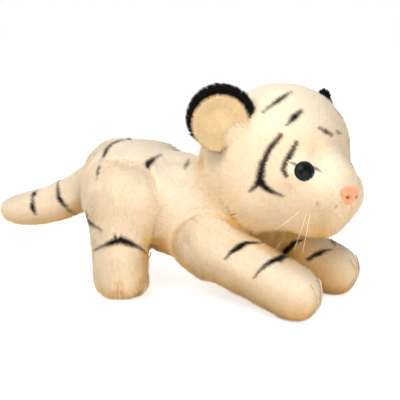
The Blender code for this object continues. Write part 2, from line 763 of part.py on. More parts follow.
def build_head(root, materials):
    form = head_form()
    head = add_empty("head_joint", neck_place(), root)
    slots = [build_ear(form, 1, "left", head, materials), build_ear(form, -1, "right", head, materials)]
    eyes = [build_eye(form, 1, "left", head, materials), build_eye(form, -1, "right", head, materials)]
    nose = build_nose(form, head, materials)
    needles = build_whiskers(form, head, materials["whisker_nylon"])
    behind = half_space(neck_place() + neck_axis() * GAP, -neck_axis())
    seam = add_cutter("head_cut", behind, head)
    hollow = add_cutter("head_hollow", soft_mesh(form, HEAD_SIDES, HEAD_RINGS, COVER_THICKNESS), head)
    cover_mesh = soft_mesh(form, HEAD_SIDES, HEAD_RINGS)
    cover = add_object("head_cover", cover_mesh, head, materials["cream_plush"])
    holes = [hole for hole, _ in (*eyes, nose)]
    combine(cover, "DIFFERENCE", seam, hollow, *slots, *holes, needles)
    depth = COVER_THICKNESS + GAP
    filling = add_object(
        "head_filling",
        soft_mesh(form, HEAD_SIDES, HEAD_RINGS, depth),
        head,
        materials["polyester_filling"],
    )
    pockets = [pocket for _, pocket in (*eyes, nose)]
    combine(filling, "DIFFERENCE", seam, *slots, *pockets)


# The legs and the tail


def foreleg_form(name, side):
    shoulder = Vector((FORELEG_SHOULDER_FORWARD, side * FORELEG_HALF_SPACING, FORELEG_SHOULDER_HEIGHT))
    way = Vector((FORELEG_REACHES[name], side * FORELEG_SPLAY, -FORELEG_DROP))
    start = shoulder - way.normalized() * FORELEG_SHOULDER_RADIUS
    end = shoulder + way + way.normalized() * FORELEG_PAW_LENGTH
    sizes = (FORELEG_SHOULDER_RADIUS, FORELEG_WIDTH)
    rounding = (FORELEG_SHOULDER_RADIUS, FORELEG_PAW_LENGTH)
    return shoulder, way, LoftForm([start, end], FORELEG_SECTION_SHARES, sizes, rounding)


def hind_form(name, side):
    hip = Vector((HIND_HIP_FORWARD, side * HIND_HALF_SPACING, HIND_HIP_HEIGHT))
    start = hip + Z_AXIS * HIND_HIP_RADIUS
    end = Vector((hip.x, hip.y + side * HIND_SPLAYS[name], -SOLE_CUT))
    sizes = (HIND_HIP_RADIUS, HIND_WIDTH, HIND_FOOT_FORWARDS[name])
    way = Vector((HIND_FOOT_FORWARDS[name], 0, -HIND_HIP_HEIGHT))
    rounding = (HIND_HIP_RADIUS, HIND_HIP_RADIUS / 2)
    return hip, way, LoftForm([start, end], HIND_SECTION_SHARES, sizes, rounding)


def root_block(pivot, spacing, radius, side):
    """What is taken off a leg's inner face round its pivot, sloping off further down the leg."""
    face = spacing + GAP
    slope = ROOT_SLOPE
    profile = [
        (0, -face),
        (radius, -face),
        (radius + slope, slope - face),
        (radius + slope, CUT_OVERRUN),
        (0, CUT_OVERRUN),
    ]
    frame = frame_along(Vector((pivot.x, 0, pivot.z)), -Y_AXIS * side)
    return turned(profile, frame, 2 * SMALL_SIDES)


def build_leg(kind, name, side, root, materials):
    """A leg's cover and filling, flat where they meet the torso, and the torso's pocket."""
    leg = f"{kind}_{name}"
    if kind == "foreleg":
        pivot, way, form = foreleg_form(name, side)
        radius, swing, spacing = FORELEG_SHOULDER_RADIUS, FORELEG_SWING, FORELEG_ROOT_SPACING
        margin = FORELEG_ROOT_MARGIN
        neck_share = FORELEG_SECTION_SHARES[2][1]
        toes = FORELEG_TOE_TURN, FORELEG_TOE_OFFSET, FORELEG_TOE_SPAN
    else:
        pivot, way, form = hind_form(name, side)
        radius, swing, spacing = HIND_HIP_RADIUS, HIND_SWING, HIND_ROOT_SPACING
        margin = HIND_ROOT_MARGIN
        neck_share = HIND_SECTION_SHARES[1][1]
        toes = HIND_TOE_TURN, HIND_TOE_OFFSET, HIND_TOE_SPAN
    joint = add_empty(f"{leg}_joint", pivot, root)
    outward = Y_AXIS * side
    floor_cut = add_cutter(f"{leg}_sole_cut", half_space(Vector((0, 0, 0)), -Z_AXIS), joint)
    root_cut = add_cutter(f"{leg}_root_cut", root_block(pivot, spacing, radius + margin, side), joint)
    hollow = add_cutter(f"{leg}_hollow", soft_mesh(form, LIMB_SIDES, LIMB_RINGS, COVER_THICKNESS), joint)
    cover_mesh = soft_mesh(form, LIMB_SIDES, LIMB_RINGS)
    cover = add_object(f"{leg}_cover", cover_mesh, joint, materials["cream_plush"])
    combine(cover, "DIFFERENCE", floor_cut, root_cut, hollow)
    filling = add_object(
        f"{leg}_filling",
        soft_mesh(form, LIMB_SIDES, LIMB_RINGS, COVER_THICKNESS + GAP),
        joint,
        materials["polyester_filling"],
    )
    combine(filling, "DIFFERENCE", root_cut)
    build_toe_lines(leg, form, side, toes, joint, materials["toe_thread"])
    along = Vector((way.x, 0, way.z)).normalized()
    frame = Matrix((along, outward.cross(along), outward)).transposed().to_4x4()
    place = Vector((pivot.x, 0, pivot.z))
    pocket = keyhole(
        Matrix.Translation(place) @ frame,
        radius + SEAM_PLAY,
        radius * neck_share + SEAM_PLAY,
        swing,
        2 * TORSO_HEIGHT,
        spacing,
        TORSO_WIDTH,
    )
    return add_cutter(f"{leg}_pocket", pocket, root)


def build_toe_lines(leg, form, side, toes, joint, material):
    """Two sewn lines over the front of a paw, which mark its toes."""
    turn, offset, span = toes
    polar = np.linspace(*span, THREAD_POINTS)
    for number, around in enumerate((turn - offset, turn + offset), 1):
        place = skin_at(form, polar, side * around)
        onward = skin_at(form, polar + NEARLY_STILL, side * around) - place
        sideways = skin_at(form, polar, side * around + NEARLY_STILL) - place
        normal = np.cross(onward, sideways)
        normal /= np.linalg.norm(normal, axis=1)[:, None]
        points = place - normal * (GAP + THREAD_RADIUS)
        thread(f"{leg}_toe_line_{number}", points, THREAD_RADIUS, joint, material)


def skin_at(form, polar, around):
    """Points of a lofted skin at angles from its far end and an angle round its route."""
    rows = (np.cos(polar), np.sin(polar) * math.sin(around), np.sin(polar) * math.cos(around))
    return form.points(np.stack(rows, axis=1))


def build_tail(root, materials):
    """The tail with a ball root, and the torso's socket, which opens out by the swing."""
    start = Vector((TAIL_ROOT_FORWARD, 0, TAIL_ROOT_HEIGHT))
    bend = Vector((TAIL_BEND_FORWARD, 0, TAIL_BEND_HEIGHT))
    tip = Vector((TAIL_TIP_FORWARD, 0, TAIL_TIP_HEIGHT))
    way = (bend - start).normalized()
    route = [start - way * TAIL_RADIUS, bend, tip]
    ends = (TAIL_RADIUS, TAIL_TIP_ROUNDING)
    form = LoftForm(route, TAIL_SECTION_SHARES, (TAIL_RADIUS, TAIL_RADIUS), ends)
    joint = add_empty("tail_joint", start, root)
    inner = start - way * (TAIL_RADIUS / 2)
    root_cut = add_cutter("tail_root_cut", half_space(inner, -way), joint)
    hollow = add_cutter("tail_hollow", soft_mesh(form, LIMB_SIDES, LIMB_RINGS, COVER_THICKNESS), joint)
    cover_mesh = soft_mesh(form, LIMB_SIDES, LIMB_RINGS)
    cover = add_object("tail_cover", cover_mesh, joint, materials["cream_plush"])
    combine(cover, "DIFFERENCE", root_cut, hollow)
    filling = add_object(
        "tail_filling",
        soft_mesh(form, LIMB_SIDES, LIMB_RINGS, COVER_THICKNESS + GAP),
        joint,
        materials["polyester_filling"],
    )
    combine(filling, "DIFFERENCE", root_cut)
    ball = TAIL_RADIUS + SEAM_PLAY
    slope = math.tan(TAIL_SWING)
    neck = ball / math.cos(TAIL_SWING)
    arc = [
        (ball * math.sin(angle), -ball * math.cos(angle))
        for angle in np.linspace(0, math.pi / 2 - TAIL_SWING, SMALL_SIDES // 2)
    ]
    reach = TORSO_HEIGHT
    profile = [(0, -ball), *arc[1:], (neck + slope * reach, reach), (0, reach)]
    return add_cutter("tail_socket", turned(profile, frame_along(start, way), LIMB_SIDES + 8), root)


# Putting it together


def centre_on_origin(root):
    """Moves the toy so that its frame lies under the middle of its outer box."""
    bpy.context.view_layer.update()
    graph = bpy.context.evaluated_depsgraph_get()
    places = []
    for obj in bpy.data.objects:
        if obj.type in ("MESH", "CURVE") and not obj.hide_render:
            shape = obj.evaluated_get(graph)
            places += [shape.matrix_world @ vert.co for vert in shape.to_mesh().vertices]
            shape.to_mesh_clear()
    places = np.array(places)
    middle = (places.min(axis=0) + places.max(axis=0)) / 2
    root.location = (-middle[0], -middle[1], 0)
    bpy.context.view_layer.update()
    print("box", np.round(places.max(axis=0) - places.min(axis=0), 4))


def main():
    clear_scene()
    materials = {name: make_material(name) for name in MATERIALS}
    root = add_empty("toy_middle", Vector((0, 0, 0)))
    pockets = [
        build_leg(kind, name, side, root, materials)
        for kind in ("foreleg", "hind_leg")
        for name, side in (("left", 1), ("right", -1))
    ]
    pockets.append(build_tail(root, materials))
    build_torso(root, materials, pockets)
    build_head(root, materials)
    centre_on_origin(root)
    for obj in bpy.data.objects:
        if obj.type == "EMPTY":
            print(obj.name, tuple(round(value, 5) for value in obj.matrix_world.translation))


main()
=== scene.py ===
# %% [markdown]
# A plush white tiger cub, dressed over its imported CAD model. The model gives every piece
# its place and its joints, so it is loaded first and nothing in it is moved. The box round
# it is kept, because the fur may stand only a little proud of it. The box round it is
# kept, and printed at the end beside the dressed toy's box.

# %% Load the frame
import json
import math

import bmesh
import bpy
import numpy as np
from mathutils import Matrix, Vector, noise
from mathutils.bvhtree import BVHTree
from mathutils.kdtree import KDTree


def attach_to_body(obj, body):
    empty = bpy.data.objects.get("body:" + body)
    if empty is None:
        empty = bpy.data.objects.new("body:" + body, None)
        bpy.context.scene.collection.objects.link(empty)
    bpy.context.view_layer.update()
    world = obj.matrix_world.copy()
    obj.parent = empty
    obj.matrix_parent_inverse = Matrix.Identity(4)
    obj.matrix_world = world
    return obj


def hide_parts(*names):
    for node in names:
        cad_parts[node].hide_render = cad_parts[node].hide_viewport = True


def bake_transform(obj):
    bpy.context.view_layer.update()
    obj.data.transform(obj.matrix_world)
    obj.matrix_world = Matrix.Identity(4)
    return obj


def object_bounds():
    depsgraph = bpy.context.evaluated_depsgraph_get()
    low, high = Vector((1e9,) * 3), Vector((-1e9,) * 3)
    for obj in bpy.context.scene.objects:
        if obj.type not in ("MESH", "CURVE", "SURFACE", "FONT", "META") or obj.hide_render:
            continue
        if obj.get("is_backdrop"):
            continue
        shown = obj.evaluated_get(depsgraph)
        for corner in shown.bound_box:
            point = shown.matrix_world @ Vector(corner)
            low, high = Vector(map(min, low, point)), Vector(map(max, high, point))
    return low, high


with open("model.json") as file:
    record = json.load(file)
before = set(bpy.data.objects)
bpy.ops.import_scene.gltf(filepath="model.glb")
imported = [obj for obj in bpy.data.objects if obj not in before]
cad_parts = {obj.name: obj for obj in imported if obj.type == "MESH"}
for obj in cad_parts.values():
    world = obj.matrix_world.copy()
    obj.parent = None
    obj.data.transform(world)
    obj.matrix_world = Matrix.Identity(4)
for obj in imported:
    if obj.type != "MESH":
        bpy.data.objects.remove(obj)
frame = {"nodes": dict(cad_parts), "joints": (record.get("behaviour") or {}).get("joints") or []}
cad_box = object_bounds()
nodes = frame["nodes"]
joints = {joint["name"]: joint for joint in frame["joints"]}
NECK_PLACE = Vector((0.056, 0, 0.086))
neck = Vector(joints["head_turn"]["pos_m"])
toy_middle = neck - NECK_PLACE
print("CAD nodes:", len(nodes), "joints:", len(joints))
print("toy middle", tuple(round(value, 5) for value in toy_middle))

# %% [markdown]
# The camera comes first, because the stripes are placed by looking through it. It stands
# low and off to the cub's right, as the photographer did, and a long lens keeps the head
# from growing against the tail. A camera looks along its own -Z, so the third column of
# its matrix points back from the toy.

# %% The camera
IMAGE_WIDTH = 400
VIEW_AZIMUTH = math.radians(26.0)
VIEW_ELEVATION = math.radians(12.0)
VIEW_DISTANCE = 0.75
VIEW_TARGET = toy_middle + Vector((0.018, 0, 0.070))
LENS = 90.0
SENSOR = 36.0

level = math.cos(VIEW_ELEVATION)
sine, cosine = math.sin(VIEW_AZIMUTH), math.cos(VIEW_AZIMUTH)
view_back = Vector((sine * level, -cosine * level, math.sin(VIEW_ELEVATION)))
view_right = Vector((cosine, sine, 0))
view_up = view_back.cross(view_right)
view_place = VIEW_TARGET + view_back * VIEW_DISTANCE
camera = bpy.data.objects.new("camera", bpy.data.cameras.new("camera"))
camera.data.lens = LENS
camera.data.sensor_width = SENSOR
turn = Matrix((view_right, view_up, view_back)).transposed().to_4x4()
camera.matrix_world = Matrix.Translation(view_place) @ turn
bpy.context.scene.collection.objects.link(camera)
bpy.context.scene.camera = camera
print("camera at", tuple(round(value, 3) for value in view_place))


def sight_line(column, row):
    """The direction in which the camera sees a place in the picture, counted from its top left."""
    pixels = IMAGE_WIDTH * LENS / SENSOR
    across = (column - IMAGE_WIDTH / 2) / pixels
    up = (IMAGE_WIDTH / 2 - row) / pixels
    return (view_right * across + view_up * up - view_back).normalized()


# %% [markdown]
# A stuffed bag has no flat side anywhere. Each one is thought of here as a few balls of
# filling that press into each other, or as a tube whose thickness swells and narrows. Both
# are laid over an icosphere, which has even triangles and no poles, so that fur can be
# planted evenly on it. The sizes are those of the CAD covers.

# %% Forms of stuffed bags
NEARLY_ZERO = 1e-9
MERGE_REACH = 1e-6
MARCH_STEPS = 60
HALVINGS = 18


def smooth_table(rows, along):
    """The table's columns at each share along it, on a smooth curve through its rows."""
    rows = np.array(rows, float)
    knots, values = rows[:, 0], rows[:, 1:]
    slopes = np.gradient(values, knots, axis=0)
    span = np.clip(np.searchsorted(knots, along, side="right") - 1, 0, len(knots) - 2)
    width = knots[span + 1] - knots[span]
    part = ((along - knots[span]) / width)[:, None]
    width = width[:, None]
    rise = part * part * (3 - 2 * part)
    first = part * (1 - part) ** 2 * width
    last = part * part * (1 - part) * width
    level = values[span] * (1 - rise) + values[span + 1] * rise
    return level + slopes[span] * first - slopes[span + 1] * last


def bent(first, bend, last, along):
    """A place along the curve from the first to the last place that leans towards the bend."""
    return first * (1 - along) ** 2 + bend * 2 * along * (1 - along) + last * along**2


def ball_distance(points, centre, half):
    scaled = (points - centre) / half
    reach = np.linalg.norm(scaled, axis=1)
    slope = np.linalg.norm(scaled / half, axis=1)
    return reach * (reach - 1) / np.maximum(slope, NEARLY_ZERO)


class Balls:
    """Balls of filling round a short straight spine, with the creases between them filled."""

    def __init__(self, shares, sizes, blend, spine_share, place):
        self.sizes = np.array(sizes)
        self.balls = [(np.array(row[:3]) * self.sizes, np.array(row[3:]) * self.sizes) for row in shares]
        self.blend = blend
        self.spine_half = spine_share * sizes[0]
        self.place = place

    def distance(self, points):
        total = ball_distance(points, *self.balls[0])
        for centre, half in self.balls[1:]:
            other = ball_distance(points, centre, half)
            overlap = np.maximum(self.blend - abs(total - other), 0)
            total = np.minimum(total, other) - overlap * overlap / (4 * self.blend)
        return total

    def points(self, units, depth):
        starts = np.zeros_like(units)
        starts[:, 0] = units[:, 0] * self.spine_half
        far = np.full(len(units), self.sizes.max())
        for reach in np.linspace(self.sizes.max(), 0, MARCH_STEPS):
            outside = self.distance(starts + units * reach) >= -depth
            far = np.where(outside, reach, far)
        near = np.maximum(far - self.sizes.max() / (MARCH_STEPS - 1), 0)
        for _ in range(HALVINGS):
            middle = (near + far) / 2
            inside = self.distance(starts + units * middle[:, None]) < -depth
            near = np.where(inside, middle, near)
            far = np.where(inside, far, middle)
        matrix = np.array(self.place)
        return (starts + units * near[:, None]) @ matrix[:3, :3].T + matrix[:3, 3]


class Tube:
    """Oval rings along a curve, with round ends."""

    def __init__(self, route, sections, sizes, round_ends):
        self.route = [np.array(point) for point in route]
        self.sections = sections
        self.sizes = np.array(sizes)
        self.round_ends = round_ends

    def points(self, units, depth):
        first, last = self.route[0], self.route[-1]
        bend = self.route[1] if len(self.route) == 3 else (first + last) / 2
        length = sum(np.linalg.norm(b - a) for a, b in zip(self.route, self.route[1:]))
        inset = depth / length
        along = inset + (1 + units[:, 0]) / 2 * (1 - 2 * inset)
        step = along[:, None]
        places = bent(first, bend, last, step)
        ways = 2 * (bend - first) * (1 - step) + 2 * (last - bend) * step
        ways /= np.linalg.norm(ways, axis=1)[:, None]
        rows = smooth_table(self.sections, along)
        from_start = np.clip(along * length / self.round_ends[0], 0, 1)
        from_end = np.clip((1 - along) * length / self.round_ends[1], 0, 1)
        rounding = np.sqrt(from_start * (2 - from_start)) * np.sqrt(from_end * (2 - from_end))
        radii = rows[:, :2] * self.sizes[:2] * rounding[:, None]
        radii = np.maximum(radii - depth, depth * rounding[:, None] / 2)
        shift = rows[:, 2] * self.sizes[2] if rows.shape[1] > 2 else np.zeros(len(rows))
        side = np.array((0.0, 1.0, 0.0)) - ways * ways[:, 1:2]
        side /= np.linalg.norm(side, axis=1)[:, None]
        up = np.cross(ways, side)
        around = units[:, 1:] / np.maximum(np.linalg.norm(units[:, 1:], axis=1), NEARLY_ZERO)[:, None]
        across = side * (around[:, 0] * radii[:, 1])[:, None] + up * (around[:, 1] * radii[:, 0])[:, None]
        return places + across + shift[:, None] * np.array((1.0, 0.0, 0.0))


# %% [markdown]
# The torso and head are balls, the legs and the tail are tubes. Their measures are the
# CAD model's, taken from the toy's own middle.

# %% The bags' measures
NECK_LEAN = math.radians(42.0)
NECK_RADIUS = 0.033
neck_way = Vector((math.cos(NECK_LEAN), 0, math.sin(NECK_LEAN)))

TORSO_SIZES = (0.134, 0.078, 0.084)
TORSO_HEIGHT = 0.069
TORSO_BLEND, TORSO_SPINE = 0.016, 0.24
TORSO_BALLS = (
    (-0.285, 0, 0.075, 0.25, 0.45, 0.43),
    (0.00, 0, -0.05, 0.30, 0.44, 0.48),
    (0.22, 0, -0.09, 0.25, 0.45, 0.47),
    (0.36, 0, -0.27, 0.26, 0.30, 0.28),
)
torso_place = Matrix.Translation(toy_middle + Vector((0, 0, TORSO_HEIGHT)))
torso_form = Balls(TORSO_BALLS, TORSO_SIZES, TORSO_BLEND, TORSO_SPINE, torso_place)
torso_form.balls.append((np.array(NECK_PLACE) - (0, 0, TORSO_HEIGHT), np.full(3, NECK_RADIUS)))

HEAD_SIZES = (0.100, 0.103, 0.103)
HEAD_REACH = 0.036
HEAD_BLEND, HEAD_SPINE = 0.014, 0.10
HEAD_TURN = math.radians(-20.5)
HEAD_ROLL = math.radians(-5.5)
HEAD_BALLS = (
    (0.00, 0.00, 0.00, 0.49, 0.49, 0.49),
    (0.07, 0.20, -0.22, 0.33, 0.27, 0.28),
    (0.07, -0.20, -0.22, 0.33, 0.27, 0.28),
    (0.48, 0.11, -0.21, 0.16, 0.15, 0.15),
    (0.48, -0.11, -0.21, 0.16, 0.15, 0.15),
    (0.41, 0.00, -0.08, 0.19, 0.12, 0.12),
    (0.35, 0.00, -0.41, 0.20, 0.20, 0.13),
)
head_place = (
    Matrix.Translation(neck + neck_way * HEAD_REACH)
    @ Matrix.Rotation(HEAD_TURN, 4, "Z")
    @ Matrix.Rotation(HEAD_ROLL, 4, "X")
)
head_form = Balls(HEAD_BALLS, HEAD_SIZES, HEAD_BLEND, HEAD_SPINE, head_place)

SHOULDER_PLACE = (0.044, 0.030, 0.0425)
FORELEG_REACHES = {"left": 0.066, "right": 0.061}
FORELEG_SPLAY, FORELEG_DROP = 0.0045, -0.0228
FORELEG_SECTIONS = (
    (0.00, 1.00, 0.47),
    (0.22, 1.00, 0.48),
    (0.43, 0.98, 0.47),
    (0.61, 0.94, 0.46),
    (0.81, 0.93, 0.51),
    (1.00, 0.91, 0.51),
)
SHOULDER_RADIUS, FORELEG_WIDTH, PAW_ROUNDING = 0.0225, 0.040, 0.021
HIP_PLACE = (-0.031, 0.034, 0.069)
HIND_FEET = {"left": (-0.038, 0.003), "right": (0.0035, 0.008)}
SOLE_DEPTH = 0.0005
HIND_SECTIONS = (
    (0.00, 1.00, 0.46, 0.0),
    (0.27, 1.00, 0.46, 0.0),
    (0.48, 0.95, 0.46, 0.25),
    (0.67, 0.88, 0.48, 0.65),
    (0.85, 0.88, 0.52, 1.0),
    (1.00, 0.88, 0.52, 1.0),
)
HIP_RADIUS, HIND_WIDTH = 0.0255, 0.040
TAIL_SECTIONS = ((0.0, 1.0, 1.0), (0.3, 1.0, 1.0), (0.6, 0.98, 0.98), (0.85, 0.93, 0.93), (1.0, 0.86, 0.86))
TAIL_PLACES = ((-0.060, 0, 0.089), (-0.093, 0, 0.047), (-0.166, 0, 0.046))
TAIL_RADIUS, TAIL_TIP_ROUNDING = 0.0162, 0.026
ROOT_SPACING = {"foreleg": 0.0215, "hind_leg": 0.0235}


def beside(place, side):
    """A place beside the toy's middle, on its left for 1 and on its right for -1."""
    return toy_middle + Vector((place[0], side * place[1], place[2]))


def foreleg_form(name, side):
    shoulder = beside(SHOULDER_PLACE, side)
    way = Vector((FORELEG_REACHES[name], side * FORELEG_SPLAY, FORELEG_DROP))
    start = shoulder - way.normalized() * SHOULDER_RADIUS
    end = shoulder + way + way.normalized() * PAW_ROUNDING
    sizes, round_ends = (SHOULDER_RADIUS, FORELEG_WIDTH), (SHOULDER_RADIUS, PAW_ROUNDING)
    return shoulder, way, Tube([start, end], FORELEG_SECTIONS, sizes, round_ends)


def hind_form(name, side):
    hip = beside(HIP_PLACE, side)
    forward, splay = HIND_FEET[name]
    start = hip + Vector((0, 0, HIP_RADIUS))
    end = Vector((hip.x, hip.y + side * splay, -SOLE_DEPTH))
    way = Vector((forward, 0, -HIP_PLACE[2]))
    sizes, round_ends = (HIP_RADIUS, HIND_WIDTH, forward), (HIP_RADIUS, HIP_RADIUS / 2)
    return hip, way, Tube([start, end], HIND_SECTIONS, sizes, round_ends)


def tail_form():
    start, bend, tip = (beside(place, 1) for place in TAIL_PLACES)
    way = (bend - start).normalized()
    route = [start - way * TAIL_RADIUS, bend, tip]
    round_ends = (TAIL_RADIUS, TAIL_TIP_ROUNDING)
    return start, way, Tube(route, TAIL_SECTIONS, (TAIL_RADIUS, TAIL_RADIUS), round_ends)


for name, form in (("torso", torso_form), ("head", head_form)):
    print(name, "is", len(form.balls), "balls")

# %% [markdown]
# A skin is the woven backing of the plush. The CAD cover lies at the mean height of the
# fur, so the skin lies a few millimetres inside it, and less deep round the eyes and the
# nose, which sit on it.

# %% Skins
SKIN_DEPTH = 0.0021
SEAT_DEPTH = 0.0018
SEAT_FADE = 0.7
COARSE = 6
FINE = 7

skins = {}


def icosphere_units(subdivisions):
    mesh = bmesh.new()
    bmesh.ops.create_icosphere(mesh, subdivisions=subdivisions, radius=1.0)
    units = np.array([vert.co for vert in mesh.verts])[:, [2, 0, 1]]
    return mesh, units


def unit_rows(rows):
    return rows / np.maximum(np.linalg.norm(rows, axis=1), NEARLY_ZERO)[:, None]


def point_tree(points):
    tree = KDTree(len(points))
    for number, point in enumerate(points):
        tree.insert(point, number)
    tree.balance()
    return tree


def nearness(places, seats):
    """From 1 at a seat's edge and within it to 0 at some way beyond it."""
    if not seats:
        return np.zeros(len(places))
    away = [np.linalg.norm(places - np.array(seat), axis=1) / room for seat, room in seats]
    rise = np.clip((1 + SEAT_FADE - np.min(away, axis=0)) / SEAT_FADE, 0, 1)
    return rise * rise * (3 - 2 * rise)


def blended(tree, values, place, count, weight_at):
    """The mean of the nearest values, each weighed by how far away it is."""
    near = tree.find_n(place, count)
    weights = [weight_at(away) for _, _, away in near]
    return sum(values[index] * weight for (_, index, _), weight in zip(near, weights)) / sum(weights)


# %% [markdown]
# Filling blows a sewn bag up until its fabric is taut. Cloth does this here: a coarse
# copy of the skin, about 5 mm from point to point, starts too small for its fabric,
# pressure pushes it out, and it is held where it is sewn down. No point may move further
# than the swell, so the toy keeps its shape, and a finer skin takes over the movement.

# %% Stuffing the bags with Cloth
SWELL = 0.0018
SWELL_STEPS = 16
SLACK = 1.5
SIMULATED = 5
BLEND_POINTS = 5
RELAX_STEPS = 36
CLOTH_QUALITY = 5
CLOTH_MASS = 0.3
CLOTH_STIFFNESS = 15
FILLING_PRESSURE = 4.0
HELD_NEARNESS = 0.9


def stuffed(form, seats, is_held):
    """Where each coarse point of a skin goes when the bag is filled, and its unit."""
    mesh, units = icosphere_units(SIMULATED)
    start = form.points(units, SKIN_DEPTH + SWELL)
    out = form.points(units, SKIN_DEPTH) - start
    for vert, place in zip(mesh.verts, start):
        vert.co = place
    face_outwards(mesh)
    bag = add_piece("bag", mesh)
    held = bag.vertex_groups.new(name="held")
    for number, place in enumerate(start):
        if is_held(place) or nearness(place[None, :], seats)[0] > HELD_NEARNESS:
            held.add([number], 1.0, "REPLACE")
    cloth = bag.modifiers.new("filling", "CLOTH")
    cloth.settings.quality = CLOTH_QUALITY
    cloth.settings.mass = CLOTH_MASS
    cloth.settings.tension_stiffness = CLOTH_STIFFNESS
    cloth.settings.compression_stiffness = CLOTH_STIFFNESS
    half_size = np.linalg.norm(start - start.mean(axis=0), axis=1).mean()
    cloth.settings.shrink_min = -SLACK * SWELL / half_size
    cloth.settings.use_pressure = True
    cloth.settings.uniform_pressure_force = FILLING_PRESSURE
    cloth.settings.vertex_group_mass = "held"
    cloth.settings.effector_weights.gravity = 0.0
    cloth.collision_settings.use_collision = False
    cloth.point_cache.frame_end = SWELL_STEPS
    scene = bpy.context.scene
    for step in range(1, SWELL_STEPS + 1):
        scene.frame_set(step)
    filled = bag.evaluated_get(bpy.context.evaluated_depsgraph_get())
    moved = skin_points(filled) - start
    scene.frame_set(1)
    bpy.data.objects.remove(bag)
    reach = np.linalg.norm(moved, axis=1)
    moved *= np.minimum(1.0, SWELL / np.maximum(reach, NEARLY_ZERO))[:, None]
    print(f"filled: points move {reach.mean() * 1000:.2f} mm, at most {reach.max() * 1000:.2f} mm")
    return units, moved


def skin_mesh(form, subdivisions, seats=(), is_held=lambda place: False):
    """An even closed skin of a form, filled. It is less deep near the seats."""
    coarse_units, moved = stuffed(form, seats, is_held)
    mesh, units = icosphere_units(subdivisions)
    tree = point_tree(coarse_units)
    swell = np.zeros_like(units)
    for number, unit in enumerate(units):
        swell[number] = blended(tree, moved, unit, BLEND_POINTS, lambda away: 1 / (away * away + 1e-4))
    depth = SKIN_DEPTH + SWELL
    places = form.points(units, depth)
    if seats:
        rise = nearness(places, seats)
        places = form.points(units, depth - (depth - SEAT_DEPTH) * rise)
        swell *= (1 - rise)[:, None]
    for vert, place in zip(mesh.verts, places + swell):
        vert.co = place
    mesh.verts.index_update()
    face_outwards(mesh)
    return relax(mesh, RELAX_STEPS)


def relax(mesh, steps):
    """Evens out sharp dents: each point goes halfway to the mean of its neighbours."""
    places = np.array([vert.co for vert in mesh.verts])
    pairs = np.array([[vert.index for vert in edge.verts] for edge in mesh.edges])
    count = np.bincount(pairs.ravel(), minlength=len(places))[:, None]
    for _ in range(steps):
        total = np.zeros_like(places)
        np.add.at(total, pairs[:, 0], places[pairs[:, 1]])
        np.add.at(total, pairs[:, 1], places[pairs[:, 0]])
        places = (places + total / count) / 2
    for vert, place in zip(mesh.verts, places):
        vert.co = place
    return mesh


def skin_points(skin):
    places = np.empty(len(skin.data.vertices) * 3)
    skin.data.vertices.foreach_get("co", places)
    return places.reshape(-1, 3)


def skin_normals(skin):
    return np.array([normal.vector for normal in skin.data.vertex_normals])


def set_points(skin, places):
    skin.data.vertices.foreach_set("co", places.ravel())
    skin.data.update()


def face_outwards(mesh):
    bmesh.ops.recalc_face_normals(mesh, faces=mesh.faces)
    if mesh.calc_volume(signed=True) < 0:
        bmesh.ops.reverse_faces(mesh, faces=mesh.faces)


def cut_flat(mesh, place, way):
    """Takes off what lies beyond a plane and closes the cut."""
    geometry = mesh.verts[:] + mesh.edges[:] + mesh.faces[:]
    cut = bmesh.ops.bisect_plane(
        mesh, geom=geometry, plane_co=place, plane_no=way, clear_outer=True, dist=MERGE_REACH
    )
    edges = [item for item in cut["geom_cut"] if isinstance(item, bmesh.types.BMEdge)]
    bmesh.ops.holes_fill(mesh, edges=edges)
    bmesh.ops.triangulate(mesh, faces=[face for face in mesh.faces if len(face.verts) > 3])
    return mesh


def add_piece(name, mesh, *materials):
    """A shown piece from a bmesh, its place in its mesh."""
    data = bpy.data.meshes.new(name)
    mesh.to_mesh(data)
    mesh.free()
    data.shade_smooth()
    piece = bpy.data.objects.new(name, data)
    bpy.context.scene.collection.objects.link(piece)
    for material in materials:
        data.materials.append(material)
    return piece


# %% [markdown]
# Every finish is a node material. One small function adds a node with its settings and
# links. Colours are written as sRGB hex, as a paint chart gives them, and one function
# turns them into the linear values that the shader needs.

# %% Colours and nodes
def linear(code):
    parts = [int(code[i : i + 2], 16) / 255 for i in (1, 3, 5)]
    return tuple(part / 12.92 if part <= 0.04045 else ((part + 0.055) / 1.055) ** 2.4 for part in parts)


def add_node(tree, kind, settings=None, **links):
    """A node with its own settings; links are sockets or values for its inputs by name."""
    node = tree.nodes.new(kind)
    for key, value in (settings or {}).items():
        setattr(node, key, value)
    for key, value in links.items():
        socket = node.inputs[int(key[1:])] if key[0] == "_" else node.inputs[key.replace("_", " ")]
        if isinstance(value, bpy.types.NodeSocket):
            tree.links.new(value, socket)
        else:
            socket.default_value = value
    return node


def new_finish(name):
    material = bpy.data.materials.new(name)
    material.use_nodes = True
    tree = material.node_tree
    tree.nodes.clear()
    shader = tree.nodes.new("ShaderNodeBsdfPrincipled")
    output = tree.nodes.new("ShaderNodeOutputMaterial")
    tree.links.new(shader.outputs["BSDF"], output.inputs["Surface"])
    return material, tree, shader


def set_inputs(node, **values):
    for key, value in values.items():
        node.inputs[key.replace("_", " ")].default_value = value


def colour_ramp(tree, share, *stops):
    """A ramp between colours, each with its position."""
    ramp = add_node(tree, "ShaderNodeValToRGB", Fac=share)
    elements = ramp.color_ramp.elements
    for element, (position, code) in zip(elements, stops):
        element.position, element.color = position, (*linear(code), 1)
    for position, code in stops[2:]:
        elements.new(position).color = (*linear(code), 1)
    return ramp.outputs["Color"]


def noise_of(tree, size, detail):
    """A noise on the piece itself, with a grain of a real size."""
    place = add_node(tree, "ShaderNodeTexCoord").outputs["Object"]
    return add_node(tree, "ShaderNodeTexNoise", Vector=place, Scale=1 / size, Detail=detail).outputs["Fac"]
